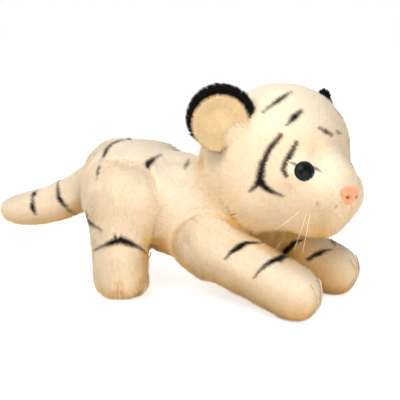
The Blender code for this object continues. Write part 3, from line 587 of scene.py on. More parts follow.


# %% [markdown]
# The pile is acrylic plush fur: matt and cream. Below its tip each fibre is painted a little
# darker, and the skin under it darker still, as painted shade in the depth of the pile. The
# ochre colours are painted shade for the sides, the underside and the creases. The colour of
# each fibre is stored on the mesh as pile_tint, and a soft noise, about the size of a tuft,
# makes neighbouring tufts differ a little.

# %% Plush finishes
CREAM = linear("#FFF3DF")
# painted shade colour, for the sides, the underside and the creases
SHADE_OCHRE = linear("#EBB96C")
BLACK = linear("#070504")
STRIPE_BLACK = linear("#150E0A")
GREY_BROWN = linear("#8B7766")
EAR_CREAM = linear("#E3C9A0")
# painted shade colour of the ear liner
EAR_SHADE_OCHRE = linear("#C0955A")
TUFT_SIZE = 0.0028
TUFT_RANGE = (0.3, 0.7, 0.95, 1.03)
ACRYLIC_IOR = 1.49


def plush_finish(name, roughness=0.85, sheen=0.08):
    material, tree, shader = new_finish(name)
    tint = add_node(tree, "ShaderNodeAttribute", {"attribute_name": "pile_tint"}).outputs["Color"]
    spread = dict(zip(("From_Min", "From_Max", "To_Min", "To_Max"), TUFT_RANGE))
    level = add_node(tree, "ShaderNodeMapRange", Value=noise_of(tree, TUFT_SIZE, 2.0), **spread).outputs[0]
    mixed = add_node(tree, "ShaderNodeVectorMath", {"operation": "SCALE"}, _0=tint, Scale=level)
    tree.links.new(mixed.outputs["Vector"], shader.inputs["Base Color"])
    set_inputs(shader, Roughness=roughness, Sheen_Weight=sheen, Sheen_Roughness=0.5, IOR=ACRYLIC_IOR)
    set_inputs(shader, Specular_IOR_Level=0.12)
    return material


cream_plush = plush_finish("cream_plush_pile")
black_plush = plush_finish("black_plush_pile", 0.9, 0.0)
liner_plush = plush_finish("ear_liner_pile")
skin_backing = plush_finish("plush_backing", 0.95, 0.0)
finishes = (cream_plush, black_plush, liner_plush, skin_backing)
print("plush finishes:", [material.name for material in finishes])

# %% [markdown]
# The skins are made now. The torso and the head meet in a flat seam at the neck, where the
# head turns, so both are cut flat there and closed.

# %% Torso, head, legs and tail
SEAM_GAP = 0.0003
NECK_HELD = 0.002
EYE_ROOM = 0.0075
NOSE_ROOM = 0.0070
MUZZLE_ROOM = 0.016
MUZZLE_PUFF, MUZZLE_SPAN = 0.0034, 0.019
CHIN_ELEVATION = math.radians(-38.0)
CHIN_PUFF, CHIN_SPAN = 0.0045, 0.014
HIP_PUFF, HIP_SPAN, HIP_TOP = 0.0065, 0.015, (-0.032, 0.031, 0.098)
EYE_AZIMUTH = math.radians(35.4)
EYE_ELEVATION = math.radians(-7.5)
NOSE_ELEVATION = math.radians(-20.2)


def on_head(azimuth, elevation):
    """A place on the head's surface and the way out of it, at angles from the head's middle."""
    level = math.cos(elevation)
    unit = np.array([[level * math.cos(azimuth), level * math.sin(azimuth), math.sin(elevation)]])
    place = Vector(head_form.points(unit, 0.0)[0])
    local = np.array(head_place.inverted() @ place)[None, :]
    steps = np.eye(3) * SEAM_GAP
    slope = head_form.distance(local + steps) - head_form.distance(local - steps)
    return place, (head_place.to_3x3() @ Vector(slope)).normalized()


eye_seats = {name: on_head(side * EYE_AZIMUTH, EYE_ELEVATION) for name, side in (("left", 1), ("right", -1))}
nose_seat = on_head(0.0, NOSE_ELEVATION)
seats = [(place, EYE_ROOM) for place, _ in eye_seats.values()] + [(nose_seat[0], MUZZLE_ROOM)]


def beyond_neck(side):
    """Says whether a place is held by the neck's seam, seen from the torso or the head."""
    return lambda place: (place - np.array(neck)) @ np.array(neck_way) * side < NECK_HELD


def puff(mesh, middle, rise, span):
    """A little more filling round a place."""
    mesh.normal_update()
    for vert, way in [(vert, vert.normal.copy()) for vert in mesh.verts]:
        vert.co += way * rise * math.exp(-(vert.co - middle).length_squared / (span * span))


torso_mesh = skin_mesh(torso_form, FINE, (), beyond_neck(-1))
for side in (1, -1):
    puff(torso_mesh, beside(HIP_TOP, side), HIP_PUFF, HIP_SPAN)
skins["torso"] = add_piece("torso_skin", cut_flat(torso_mesh, neck, neck_way), skin_backing)
head_mesh = skin_mesh(head_form, FINE, seats, beyond_neck(1))
puff(head_mesh, nose_seat[0], MUZZLE_PUFF, MUZZLE_SPAN)
puff(head_mesh, on_head(0.0, CHIN_ELEVATION)[0], CHIN_PUFF, CHIN_SPAN)
cut_flat(relax(head_mesh, RELAX_STEPS), neck + neck_way * SEAM_GAP, -neck_way)
skins["head"] = add_piece("head_skin", head_mesh, skin_backing)

pivots = {}
ways = {}
forms = {"torso": torso_form, "head": head_form}
for name, side in (("left", 1), ("right", -1)):
    for kind, make in (("foreleg", foreleg_form), ("hind_leg", hind_form)):
        leg = f"{kind}_{name}"
        pivots[leg], ways[leg], forms[leg] = make(name, side)
        skins[leg] = add_piece(f"{leg}_skin", skin_mesh(forms[leg], COARSE), skin_backing)
pivots["tail"], ways["tail"], forms["tail"] = tail_form()
skins["tail"] = add_piece("tail_skin", skin_mesh(forms["tail"], COARSE), skin_backing)
for name, skin in skins.items():
    print(name, len(skin.data.polygons), "faces")

# %% [markdown]
# A sewn ear is a cup of plush with its black side out. A profile of the cup is spun round
# the way it faces, which gives the thick rolled rim in one step, and the part below its
# seam is taken off where it goes into the head.

# %% Ear cups
EAR_RADIUS = 0.0225
EAR_LIFT = 0.0185
EAR_FORWARD, EAR_LEFT, EAR_UP = -0.0105, 0.053, 0.0235
EAR_FACING = (math.radians(45.0), math.radians(8.0))
EAR_STANDING = (math.radians(143.0), math.radians(48.0))
# Radius and height over the ear's middle plane, from the back's middle round to the front's.
EAR_PROFILE = (
    (0.0, -0.0048),
    (0.0075, -0.0046),
    (0.0145, -0.0036),
    (0.0195, -0.0016),
    (0.0215, 0.0004),
    (0.0212, 0.0024),
    (0.0195, 0.0032),
    (0.0165, 0.0018),
    (0.0115, -0.0004),
    (0.0055, -0.0018),
    (0.0, -0.0021),
)
LINER_SHIFT = (-0.0032, -0.0026)
LINER_EDGE, LINER_FOOT, LINER_BACK = 0.0190, 0.004, -0.0028
LINER_LIFT, LINER_BOTTOM = 0.0016, 0.0015
EAR_SEWN = {"left": (0.0026, -0.0012), "right": (0.0, 0.0)}
LINER_PROFILE = (
    (0.0, -0.0018),
    (0.0055, -0.0015),
    (0.0115, -0.0001),
    (0.0165, 0.0021),
    (0.0184, 0.0030),
    (0.0170, 0.0035),
    (0.0115, 0.0010),
    (0.0055, -0.0004),
    (0.0, -0.0008),
)
EAR_STEPS = 96


def pointing(angles, side):
    azimuth, elevation = angles
    level = math.cos(elevation)
    way = Vector((level * math.cos(azimuth), side * level * math.sin(azimuth), math.sin(elevation)))
    return head_place.to_3x3() @ way


def ear_place(side):
    """The ear's hinge: its first axis points up the ear, its second the way the cup faces."""
    front = pointing(EAR_FACING, side)
    standing = pointing(EAR_STANDING, side)
    up = (standing - front * standing.dot(front)).normalized()
    middle = head_place @ Vector((EAR_FORWARD, side * EAR_LEFT, EAR_UP))
    across, upwards = EAR_SEWN["left" if side > 0 else "right"]
    middle += view_right * across + view_up * upwards
    matrix = Matrix((up, front, up.cross(front))).transposed()
    return Matrix.Translation(middle - up * EAR_LIFT) @ matrix.to_4x4()


def in_order(mesh):
    """The same form, with its faces in a fixed order, which a spin leaves to chance."""
    verts = sorted(mesh.verts, key=lambda vert: tuple(round(value, 7) for value in vert.co))
    ranks = {vert: rank for rank, vert in enumerate(verts)}
    faces = []
    for face in mesh.faces:
        corners = [ranks[vert] for vert in face.verts]
        first = corners.index(min(corners))
        faces.append(corners[first:] + corners[:first])
    ordered = bmesh.new()
    places = [ordered.verts.new(vert.co) for vert in verts]
    for corners in sorted(faces):
        ordered.faces.new([places[corner] for corner in corners])
    ordered.normal_update()
    mesh.free()
    return ordered


def spun(profile, axis, steps):
    """A closed form, spun from its profile once round an axis."""
    mesh = bmesh.new()
    verts = [mesh.verts.new(place) for place in profile]
    edges = [mesh.edges.new(pair) for pair in zip(verts, verts[1:])]
    turn = {"cent": (0, 0, 0), "axis": axis, "angle": math.tau, "steps": steps, "use_merge": True}
    bmesh.ops.spin(mesh, geom=verts + edges, **turn)
    bmesh.ops.remove_doubles(mesh, verts=mesh.verts, dist=MERGE_REACH)
    bmesh.ops.recalc_face_normals(mesh, faces=mesh.faces)
    return in_order(mesh)


def spun_cup(profile, place, bottom, shift=(0.0, 0.0, 0.0)):
    """A closed cup spun from its profile, cut off below the hinge."""
    mesh = spun([(radius, height, 0) for radius, height in profile], (0, 1, 0), EAR_STEPS)
    bmesh.ops.subdivide_edges(mesh, edges=mesh.edges, cuts=1, smooth=1.0, use_grid_fill=True)
    bmesh.ops.translate(mesh, verts=mesh.verts, vec=Vector((EAR_LIFT, 0, 0)) + Vector(shift))
    cut_flat(mesh, Vector((bottom, 0, 0)), Vector((-1, 0, 0)))
    bmesh.ops.triangulate(mesh, faces=mesh.faces)
    face_outwards(mesh)
    bmesh.ops.transform(mesh, matrix=place, verts=mesh.verts)
    return mesh


ear_places = {"left": ear_place(1), "right": ear_place(-1)}
EAR_SIDES = {"left": -1, "right": 1}
for name, place in ear_places.items():
    skins[f"ear_{name}"] = add_piece(f"ear_{name}_skin", spun_cup(EAR_PROFILE, place, 0.0), skin_backing)
    shift = (LINER_SHIFT[0], LINER_LIFT, LINER_SHIFT[1] * EAR_SIDES[name])
    liner = spun_cup(LINER_PROFILE, place, LINER_BOTTOM, shift)
    skins[f"liner_{name}"] = add_piece(f"ear_{name}_liner_skin", liner, skin_backing)
    print("ear", name, len(skins[f"ear_{name}"].data.polygons), "faces")

# %% [markdown]
# A toe is only a stitch: thread runs over the front of the paw and draws the filling in.
# The skin of the hind paws is pressed in along the CAD's toe lines, most at the thread and
# less beside it. On the forepaws the thread lies loose, as the photograph shows no dent.

# %% Toes
TOE_DEPTH = 0.0030
TOE_WIDTH = 0.0026


def draw_in(leg):
    skin = skins[leg]
    threads = [node for name, node in nodes.items() if name.startswith(f"{leg}_toe")]
    tree = point_tree([vert.co for node in threads for vert in node.data.vertices])
    places = skin_points(skin)
    away = np.array([tree.find(place)[2] for place in places])
    pressed = TOE_DEPTH * np.exp(-(((away - SKIN_DEPTH).clip(0) / TOE_WIDTH) ** 2))
    set_points(skin, places - skin_normals(skin) * pressed[:, None])
    print(leg, "is drawn in by", len(threads), "threads")


draw_in("hind_leg_left")
draw_in("hind_leg_right")

# %% [markdown]
# Where a leg or the tail is sewn on, the plush runs over the seam, so there is no sharp
# valley between the two bags. Each skin rises a little towards its neighbour: at a place
# whose distance to the neighbour is d it rises by (k - d)^2 / 4k, between its own way out
# and its neighbour's, which is how two round forms flow together over a width k. Then the
# torso makes room for what is pressed into it: its places inside a leg or the tail go back
# to the far side of that piece.

# %% Seams that flow together
FLOW = {"foreleg": 0.034, "hind_leg": 0.036, "tail": 0.024}
FLOW_FADE, LEAST_FLOW = 0.045, 0.15
NECK_FLOW = 0.030
LEAST_TURN = 0.35
MOST_RISE = 0.0110
ROOM = 0.0005
DENT_REACH = 0.09
HIDDEN_SPAN = 0.03
ROOT_REACH, ROOT_FADE = 0.045, 0.012
LEGS = ("foreleg_left", "foreleg_right", "hind_leg_left", "hind_leg_right")


def skin_trees(names):
    graph = bpy.context.evaluated_depsgraph_get()
    return {name: BVHTree.FromObject(skins[name], graph) for name in names}


def kind_of(name):
    return name.rsplit("_", 1)[0] if name != "tail" else name


LOOK_WAY = Vector((0.31, 0.52, 0.79)).normalized()
LOOK_STEP = 1e-5


def is_inside(tree, place):
    """A line from inside a closed skin crosses it an odd number of times."""
    crossings = 0
    start = place.copy()
    while True:
        hit = tree.ray_cast(start, LOOK_WAY)[0]
        if hit is None:
            return crossings % 2 == 1
        crossings += 1
        start = hit + LOOK_WAY * LOOK_STEP


def signed_distance(tree, place, span):
    """The distance to a skin, negative inside it, and None further away than the span."""
    near, _, _, away = tree.find_nearest(place, span)
    if near is None:
        return None
    return -away if is_inside(tree, place) else away


def flow_width(name, place):
    """How wide a limb's seam flows at a place: less towards the limb's end."""
    along = (place - pivots[name]).dot(ways[name].normalized())
    return FLOW[kind_of(name)] * min(max(1.0 - along / FLOW_FADE, LEAST_FLOW), 1.0)


def rise_towards(skin, tree, width_at):
    """Lifts a skin near another one. Deep inside the other one it stays as it was."""
    places, normals = skin_points(skin), skin_normals(skin)
    for number, point in enumerate(places):
        place = Vector(point)
        width = width_at(place)
        near, normal, _, away = tree.find_nearest(place, width)
        if near is None:
            continue
        own = Vector(normals[number])
        share = (1 - away / width) / 2
        way = own * (1 - share) + normal * share
        step = (width - away) ** 2 / (4 * width) / max(way.length_squared, LEAST_TURN)
        places[number] = place + way * min(step, MOST_RISE / max(way.length, NEARLY_ZERO))
    return places


def join_bags(first, second, width_at):
    """Both skins of a seam rise towards each other, from where both were before."""
    tree_of = skin_trees((first, second))
    pairs = ((first, second), (second, first))
    lifted = [rise_towards(skins[own], tree_of[other], width_at) for own, other in pairs]
    for name, places in zip((first, second), lifted):
        set_points(skins[name], places)


def keep_behind_neck(name, side):
    """No place of the torso or the head crosses the neck's flat seam."""
    places = skin_points(skins[name])
    over = np.minimum((places - np.array(neck)) @ np.array(neck_way) * side - SEAM_GAP / 2, 0)
    set_points(skins[name], places - over[:, None] * side * np.array(neck_way))


for limb in (*LEGS, "tail"):
    join_bags("torso", limb, lambda place, limb=limb: flow_width(limb, place))
join_bags("torso", "head", lambda place: NECK_FLOW)
keep_behind_neck("torso", -1)
keep_behind_neck("head", 1)


def flatten_root(leg):
    """The leg's inner face lies flat against the torso."""
    skin, side = skins[leg], 1 if leg.endswith("left") else -1
    places = skin_points(skin)
    face = toy_middle.y + side * (ROOT_SPACING[kind_of(leg)] + ROOM)
    reach = np.linalg.norm((places - np.array(pivots[leg]))[:, [0, 2]], axis=1)
    near = np.clip((ROOT_REACH - reach) / ROOT_FADE, 0, 1)
    over = np.maximum((face - places[:, 1]) * side, 0) * side
    places[:, 1] += over * near
    set_points(skin, places)


for leg in LEGS:
    flatten_root(leg)
full_torso = skin_points(skins["torso"]), skin_normals(skins["torso"])
solid = skin_trees((*LEGS, "tail"))
dented = full_torso[0].copy()
for name, tree in solid.items():
    inwards = Vector((0, -1 if name.endswith("left") else 1, 0))
    if name == "tail":
        inwards = -ways["tail"].normalized()
    for number, place in enumerate(full_torso[0]):
        start = Vector(place)
        away = signed_distance(tree, start, HIDDEN_SPAN)
        if away is None or away > 0:
            continue
        hit, _, _, reach = tree.ray_cast(start, inwards, DENT_REACH)
        if hit is not None:
            dented[number] = start + inwards * (reach + ROOM)
print("the torso makes room at", int((abs(dented - full_torso[0]).max(axis=1) > 0).sum()), "places")

# %% [markdown]
# The stripes are printed on the plush. Each one is a line of places in the photograph's
# frame, and a sight line carries it from the camera onto the skin. The cub is the same on
# both sides, so each line is also mirrored across its piece's middle. First come a
# stripe's half widths at its start, middle and end in millimetres, then columns and rows
# of the picture.

# %% Stripe lines
HEAD_STRIPES = (
    ((0.9, 2.1, 1.0), ((262, 113), (272, 106), (283, 98.5), (291, 93))),
    ((1.0, 2.4, 1.3), ((286, 125), (293, 117.5), (300.5, 111))),
    ((1.7, 1.9, 3.0), ((279.5, 135), (274, 142), (268, 150), (262, 163), (260, 174), (259, 182))),
    ((2.6, 1.8, 1.0), ((259.5, 179), (256, 185), (249.5, 191))),
    ((2.6, 1.8, 0.8), ((259.5, 180), (264, 187), (271, 191.5), (282, 196))),
    ((1.5, 2.0, 1.5), ((295.4, 142), (288.4, 156), (283.5, 164), (282, 169), (285, 175.5))),
    ((0.6, 0.9, 1.1), ((288, 161.5), (292, 163), (296, 165))),
    ((1.1, 0.9, 0.5), ((314, 168), (318, 171), (321.6, 173.3))),
)
BROW_STRIPES = (
    ((1.0, 1.7, 1.3), ((317.5, 128), (324, 131.5), (330, 134.5))),
    ((0.8, 1.0, 0.6), ((334, 131), (339, 134))),
    ((0.7, 0.8, 0.6), ((349, 158), (350, 160))),
    ((0.6, 0.6, 0.6), ((317.4, 203), (317.4, 204.5))),
    ((0.6, 0.6, 0.6), ((335, 206), (335, 207.5))),
)
TORSO_STRIPES = (
    ((1.2, 1.7, 1.9), ((130, 142), (125, 142), (117, 144), (111, 147))),
    ((2.3, 2.0, 0.8), ((111, 147), (107, 152), (104, 159), (101, 168))),
    ((2.9, 2.0, 0.9), ((144.8, 168), (153, 160), (161, 156.5))),
    ((1.0, 1.5, 0.8), ((188.8, 162), (185, 170))),
)
HIND_STRIPES = (
    ((1.2, 1.0, 0.5), ((100, 168), (98.5, 175), (97.5, 182))),
    ((1.2, 1.8, 0.8), ((86, 213), (90, 220), (95, 225), (103.3, 230.8))),
    ((0.8, 1.4, 2.9), ((96, 251), (102, 247.5), (108, 245), (115, 242.2), (121, 240.5))),
    ((2.9, 1.5, 0.7), ((121, 240.5), (128, 243), (139, 248), (145.4, 253.7))),
    ((2.4, 1.4, 0.6), ((117, 242), (115, 234.6))),
)
FORELEG_NEAR_STRIPES = (
    ((0.8, 2.5, 1.2), ((226, 259.6), (232.5, 252.5), (241, 247), (247, 243.6), (257.5, 244.4))),
    ((0.7, 2.1, 2.8), ((255, 278), (262, 270), (271.6, 263), (280, 260), (287, 257))),
)
FORELEG_FAR_STRIPES = (
    ((2.6, 2.2, 0.9), ((286, 251), (290, 248), (295.4, 243), (303, 240.5))),
    ((1.6, 2.0, 0.8), ((309.5, 259.6), (317, 255.2), (325, 252), (332, 251))),
)
TAIL_STRIPES = (
    ((0.8, 2.0, 3.0), ((38, 192), (35.5, 194), (33.8, 197))),
    ((2.7, 2.4, 0.9), ((33.2, 204), (33, 208), (36, 214))),
    ((1.6, 1.4, 1.6), ((33.6, 197), (33.6, 204))),
    ((0.8, 2.1, 0.7), ((61, 181), (58.7, 190), (59, 197), (66, 206), (75.5, 212))),
)
STRIPE_STEP = 0.0012
FRONT_ROOM = 0.009


def on_skin(tree, columns_rows, middle):
    """Places on a skin that the camera sees at these places of the picture."""
    found = []
    for column, row in columns_rows:
        way = sight_line(column, row)
        place = tree.ray_cast(view_place, way)[0]
        if place is None:
            reach = (middle - view_place).dot(way)
            place = tree.find_nearest(view_place + way * reach)[0]
        found.append(place)
    return found


def drawn_stripe(tree, half_widths, line, middle, mirror):
    """The stripe's dots, its own and mirrored, each with the half width it has there."""
    corners = on_skin(tree, line, middle)
    dots = []
    for start, end in zip(corners, corners[1:]):
        steps = max(int((end - start).length / STRIPE_STEP), 1)
        for step in range(steps + 1):
            dots.append(start.lerp(end, step / steps))
    rows = []
    for number, dot in enumerate(dots):
        along = number / max(len(dots) - 1, 1)
        width = np.interp(along, (0.0, 0.5, 1.0), half_widths) / 1000
        for place in (dot, mirror @ dot):
            rows.append((*tree.find_nearest(place)[0], width))
    return rows


def mirror_across(matrix):
    """The mirror image across a piece's own middle plane."""
    return matrix @ Matrix.Diagonal((1, -1, 1, 1)) @ matrix.inverted()


torso_mirror = mirror_across(Matrix.Translation(toy_middle))
stripe_dots = {}
stripe_plans = [
    ("head", HEAD_STRIPES, mirror_across(head_place)),
    ("head", BROW_STRIPES, Matrix.Identity(4)),
    ("torso", TORSO_STRIPES, torso_mirror),
    ("tail", TAIL_STRIPES, torso_mirror),
]
LEG_STRIPES = {
    "hind_leg_right": HIND_STRIPES,
    "foreleg_right": FORELEG_NEAR_STRIPES,
    "foreleg_left": FORELEG_FAR_STRIPES,
}
for name, lines in LEG_STRIPES.items():
    stripe_plans.append((name, lines, mirror_across(Matrix.Translation(pivots[name]))))
trees = skin_trees(skins)
for name, lines, mirror in stripe_plans:
    middle = Vector(skin_points(skins[name]).mean(axis=0))
    rows = [row for widths, line in lines for row in drawn_stripe(trees[name], widths, line, middle, mirror)]
    stripe_dots[name] = np.array([*stripe_dots.get(name, ()), *rows])
# The left hind leg has the right one's stripes, moved with its foot, but none at its front.
rows = []
foot_shift = HIND_FEET["left"][0] - HIND_FEET["right"][0]
for *place, width in stripe_dots["hind_leg_right"]:
    moved = torso_mirror @ Vector(place)
    moved.x += foot_shift * min(max((HIP_PLACE[2] - moved.z) / HIP_PLACE[2], 0), 1)
    rows.append((*trees["hind_leg_left"].find_nearest(moved)[0], width))
front = max(row[0] for row in rows)
stripe_dots["hind_leg_left"] = np.array([row for row in rows if row[0] < front - FRONT_ROOM])
print({name: len(dots) for name, dots in stripe_dots.items()})

# %% [markdown]
# Fur is thousands of fibres. Each is a three-sided spike from a cone operator, and
# Geometry Nodes plants it on the skin, leaning the way the fur is combed. Three values on
# the skin steer it: how densely fibres stand, how long they are, and which way they lie.
# The nodes and the noise in the combing are seeded, so every run gives the same coat.

# %% The pile's planting
FIBRE_SIDES = 3
FIBRE_WIDTH = 0.00031
DENSITY = 2.1e6
SPREAD = 0.22
LENGTHS = (0.75, 1.12)


def build_fibre():
    mesh = bmesh.new()
    bmesh.ops.create_cone(mesh, segments=FIBRE_SIDES, radius1=1.0, radius2=0.0, depth=1.0, cap_ends=False)
    bmesh.ops.remove_doubles(mesh, verts=mesh.verts, dist=MERGE_REACH)
    bmesh.ops.translate(mesh, verts=mesh.verts, vec=(0, 0, 0.5))
    bmesh.ops.recalc_face_normals(mesh, faces=mesh.faces)
    return add_piece("fibre", mesh)


def planting(seed):
    tree = bpy.data.node_groups.new("pile_planting", "GeometryNodeTree")
    tree.interface.new_socket("Geometry", in_out="INPUT", socket_type="NodeSocketGeometry")
    tree.interface.new_socket("Geometry", in_out="OUTPUT", socket_type="NodeSocketGeometry")
    start = add_node(tree, "NodeGroupInput")

    def stored(name, kind):
        found = add_node(tree, "GeometryNodeInputNamedAttribute", {"data_type": kind}, Name=name)
        return next(socket for socket in found.outputs if socket.enabled and socket.name == "Attribute")

    def times(first, second):
        return add_node(tree, "ShaderNodeMath", {"operation": "MULTIPLY"}, _0=first, _1=second).outputs[0]

    dense = times(stored("pile_density", "FLOAT"), DENSITY)
    ground = start.outputs[0]
    roots = add_node(tree, "GeometryNodeDistributePointsOnFaces", Mesh=ground, Density=dense, Seed=seed)
    spread = add_node(tree, "FunctionNodeRandomValue", {"data_type": "FLOAT_VECTOR"}, Seed=seed + 1)
    spread.inputs[0].default_value = (-SPREAD,) * 3
    spread.inputs[1].default_value = (SPREAD,) * 3
    lay = stored("pile_lay", "FLOAT_VECTOR")
    lean = add_node(tree, "ShaderNodeVectorMath", {"operation": "ADD"}, _0=lay, _1=spread.outputs[0])
    turned = add_node(tree, "FunctionNodeAlignRotationToVector", {"axis": "Z"}, Vector=lean.outputs[0])
    length = add_node(tree, "FunctionNodeRandomValue", {"data_type": "FLOAT"}, Seed=seed + 2)
    length.inputs[2].default_value, length.inputs[3].default_value = LENGTHS
    reach = times(stored("pile_reach", "FLOAT"), length.outputs[1])
    size = add_node(tree, "ShaderNodeCombineXYZ", X=FIBRE_WIDTH, Y=FIBRE_WIDTH, Z=reach)
    source = add_node(tree, "GeometryNodeObjectInfo", Object=fibre)
    planted = add_node(
        tree,
        "GeometryNodeInstanceOnPoints",
        Points=roots.outputs["Points"],
        Instance=source.outputs["Geometry"],
        Rotation=turned.outputs["Rotation"],
        Scale=size.outputs[0],
    )
    real = add_node(tree, "GeometryNodeRealizeInstances", Geometry=planted.outputs["Instances"])
    add_node(tree, "NodeGroupOutput", _0=real.outputs["Geometry"])
    return tree


fibre = build_fibre()
print("fibre", len(fibre.data.polygons), "faces")

# %% [markdown]
# Before planting, each skin gets its values. The fur is combed from the nose back over the
# head and along the body, down the legs and out along the tail. It thins to nothing where
# pieces press against each other, and is trimmed short round the eyes and the nose. On the
# sides and below, near a neighbour and where little light falls in, the coat is painted
# ochre: this is painted shade, standing in for the shade that falls there.

# %% Combing and shading the coat
LEAN_ANGLE = math.radians(56.0)
LEAST_WAY = 0.15
SWIRL_SIZE, SWIRL_SHARE = 1 / 90, 0.35
SWIRL_SEED = 3
COAT_LENGTH = 0.0043
EAR_COAT_LENGTH = 0.0042
LINER_COAT_LENGTH = 0.0030
NECK_COAT, NECK_COAT_SPAN = 0.004, 0.010
NECK_BARE = {"head": (1, 0.0008), "torso": (-1, 0.0005)}
RUFF_FOOT = (-0.003, 0.006, -0.010)
RUFF_SPAN, RUFF_FULL = 0.023, 1.25
RUFF_WAY, RUFF_OUT = (1.0, 0.25, 0.0), 0.25
RUFF_LENGTH = 0.0090
FLOOR_CLEAR = 0.0002
BRIDGE_DEPTH, BARE_SHARE = 0.02, 0.96
TRIM_LEAST, TRIM_SPAN, TRIM_INNER = 0.5, 0.008, 0.95


VALUE_KINDS = {1: ("FLOAT", "value"), 3: ("FLOAT_VECTOR", "vector"), 4: ("FLOAT_COLOR", "color")}


def set_values(mesh, name, values):
    """Stores one number, three or four for each place of a mesh."""
    values = np.ascontiguousarray(values, np.float32)
    kind, key = VALUE_KINDS[values.shape[-1] if values.ndim > 1 else 1]
    attribute = mesh.attributes.get(name) or mesh.attributes.new(name, kind, "POINT")
    attribute.data.foreach_set(key, values.ravel())


def values_of(mesh, name, width):
    found = np.empty(len(mesh.vertices) * width, np.float32)
    mesh.attributes[name].data.foreach_get(VALUE_KINDS[width][1], found)
    return found.reshape(-1, width) if width > 1 else found


def gaps_to(places, tree):
    """How far each place is from another skin, negative inside it, at most the seam's span."""
    found = np.full(len(places), SEAM_SPAN)
    for number, place in enumerate(places):
        away = signed_distance(tree, Vector(place), SEAM_SPAN)
        if away is not None:
            found[number] = away
    return found


def frame_along(place, direction, sideways=None):
    third = Vector(direction).normalized()
    first = Vector(sideways) if sideways else third.orthogonal()
    first = (first - third * first.dot(third)).normalized()
    matrix = Matrix((first, third.cross(first), third)).transposed()
    return Matrix.Translation(place) @ matrix.to_4x4()


NEIGHBOURS = {
    "torso": ("head", "foreleg_left", "foreleg_right", "hind_leg_left", "hind_leg_right", "tail"),
    "head": ("torso", "ear_left", "ear_right", "foreleg_left", "foreleg_right"),
    "foreleg_left": ("torso", "head"),
    "foreleg_right": ("torso", "head"),
    "hind_leg_left": ("torso",),
    "hind_leg_right": ("torso",),
    "tail": ("torso",),
    "ear_left": ("head",),
    "ear_right": ("head",),
    "liner_left": ("head",),
    "liner_right": ("head",),
}
SEAM_SHADE = (0.010, 0.15)
NECK_SHADE = (0.025, 0.3)
SIDE_SHADE = 0.28
EVEN_STEPS = 16
SHADE_LOW, SHADE_FADE, SHADE_LEAST = 0.072, 0.022, 0.6
SHADE_OPEN, SHADE_DEPTH = 0.92, 0.78
HIDDEN_DEPTH = 0.0022
SEAM_SPAN = 0.026
FULL_SEAM = 1.15
SOFT_SPAN = 0.010
SOFT_SAMPLES = 400
PILE_KEYS = ("pile_density", "pile_reach", "pile_lay", "pile_seam", "pile_out", "pile_warmth")
OPEN_RAYS = 28
OPEN_REACH = 0.07
OPEN_SAMPLES = 2562
OPEN_BLEND = 7
OPEN_START = 0.004
FLOOR_SHARE = 0.55


def dome_directions():
    """Even directions over the half of space above +Z, more of them near its top."""
    numbers = np.arange(OPEN_RAYS)
    up = np.sqrt(1 - (numbers + 0.5) / OPEN_RAYS)
    around = numbers * math.pi * (3 - math.sqrt(5))
    flat = np.sqrt(1 - up * up)
    return [Vector(row) for row in np.column_stack((flat * np.cos(around), flat * np.sin(around), up))]


def openness(name):
    """How much of the room over each place is free of the toy and the floor, from 0 to 1."""
    skin = skins[name]
    places, normals = skin_points(skin), skin_normals(skin)
    chosen = np.arange(min(OPEN_SAMPLES, len(places)))
    if name.startswith(("ear", "liner")):
        chosen = np.arange(0, len(places), max(len(places) // OPEN_SAMPLES, 1))
    found = np.full(len(chosen), -1.0)
    directions = dome_directions()
    for row, number in enumerate(chosen):
        out = Vector(normals[number])
        start = Vector(places[number]) + out * OPEN_START
        if any(is_inside(trees[other], start) for other in NEIGHBOURS[name]):
            continue
        turn = frame_along(start, out).to_3x3()
        free = 0.0
        for direction in directions:
            way = turn @ direction
            if whole.ray_cast(start, way, OPEN_REACH)[0] is None:
                low = way.z < 0 and start.z / -way.z < OPEN_REACH
                free += FLOOR_SHARE if low else 1.0
        found[row] = free / len(directions)
    seen = found >= 0
    found, chosen = found[seen], chosen[seen]
    tree = point_tree(places[chosen])
    return np.array(
        [blended(tree, found, place, OPEN_BLEND, lambda away: 1 / (away + 1e-3)) for place in places]
    )


joined = bmesh.new()
for name, skin in skins.items():
    if not name.startswith("liner"):
        joined.from_mesh(skin.data)
whole = BVHTree.FromBMesh(joined)
joined.free()


def combed(name, places, normals):
    """The way that the fur is combed at each place."""
    back = np.array((-1.0, 0.0, -0.25))
    if name == "torso":
        return np.tile(back, (len(places), 1))
    if name == "head":
        away = unit_rows(places - np.array(nose_seat[0] + nose_seat[1] * 0.01))
        return away + np.array((0.0, 0.0, -0.15))
    if name == "tail":
        return np.tile((-1.0, 0.0, -0.1), (len(places), 1))
    if name.startswith("foreleg") or name.startswith("hind"):
        way = np.array(ways[name].normalized())
        return np.tile(way + (0.15, 0, 0), (len(places), 1))
    place = ear_places[name.split("_")[1]]
    middle = np.array(place @ Vector((EAR_LIFT * 0.6, 0, 0)))
    return unit_rows(places - middle)


def under_liner(name, places):
    """Says which places of an ear's skin its liner covers."""
    side = name.split("_")[1]
    inverse = np.array(ear_places[side].inverted())
    local = places @ inverse[:3, :3].T + inverse[:3, 3]
    third = LINER_SHIFT[1] * EAR_SIDES[side]
    reach = np.hypot(local[:, 0] - EAR_LIFT - LINER_SHIFT[0], local[:, 2] - third)
    low = (local[:, 0] < EAR_LIFT) & (np.abs(local[:, 2] - third) < LINER_EDGE)
    low &= reach < LINER_EDGE + LINER_FOOT
    return ((reach < LINER_EDGE) | low) & (local[:, 1] > LINER_BACK)


def evened(mesh, values):
    """The values after a few rounds in which each place takes half of its neighbours' mean."""
    ends = np.array([edge.vertices[:] for edge in mesh.edges])
    places = np.concatenate((ends[:, 0], ends[:, 1]))
    others = np.concatenate((ends[:, 1], ends[:, 0]))
    counts = np.maximum(np.bincount(places, minlength=len(values)), 1)
    for _ in range(EVEN_STEPS):
        means = np.bincount(places, weights=values[others], minlength=len(values)) / counts
        values = (values + means) / 2
    return values


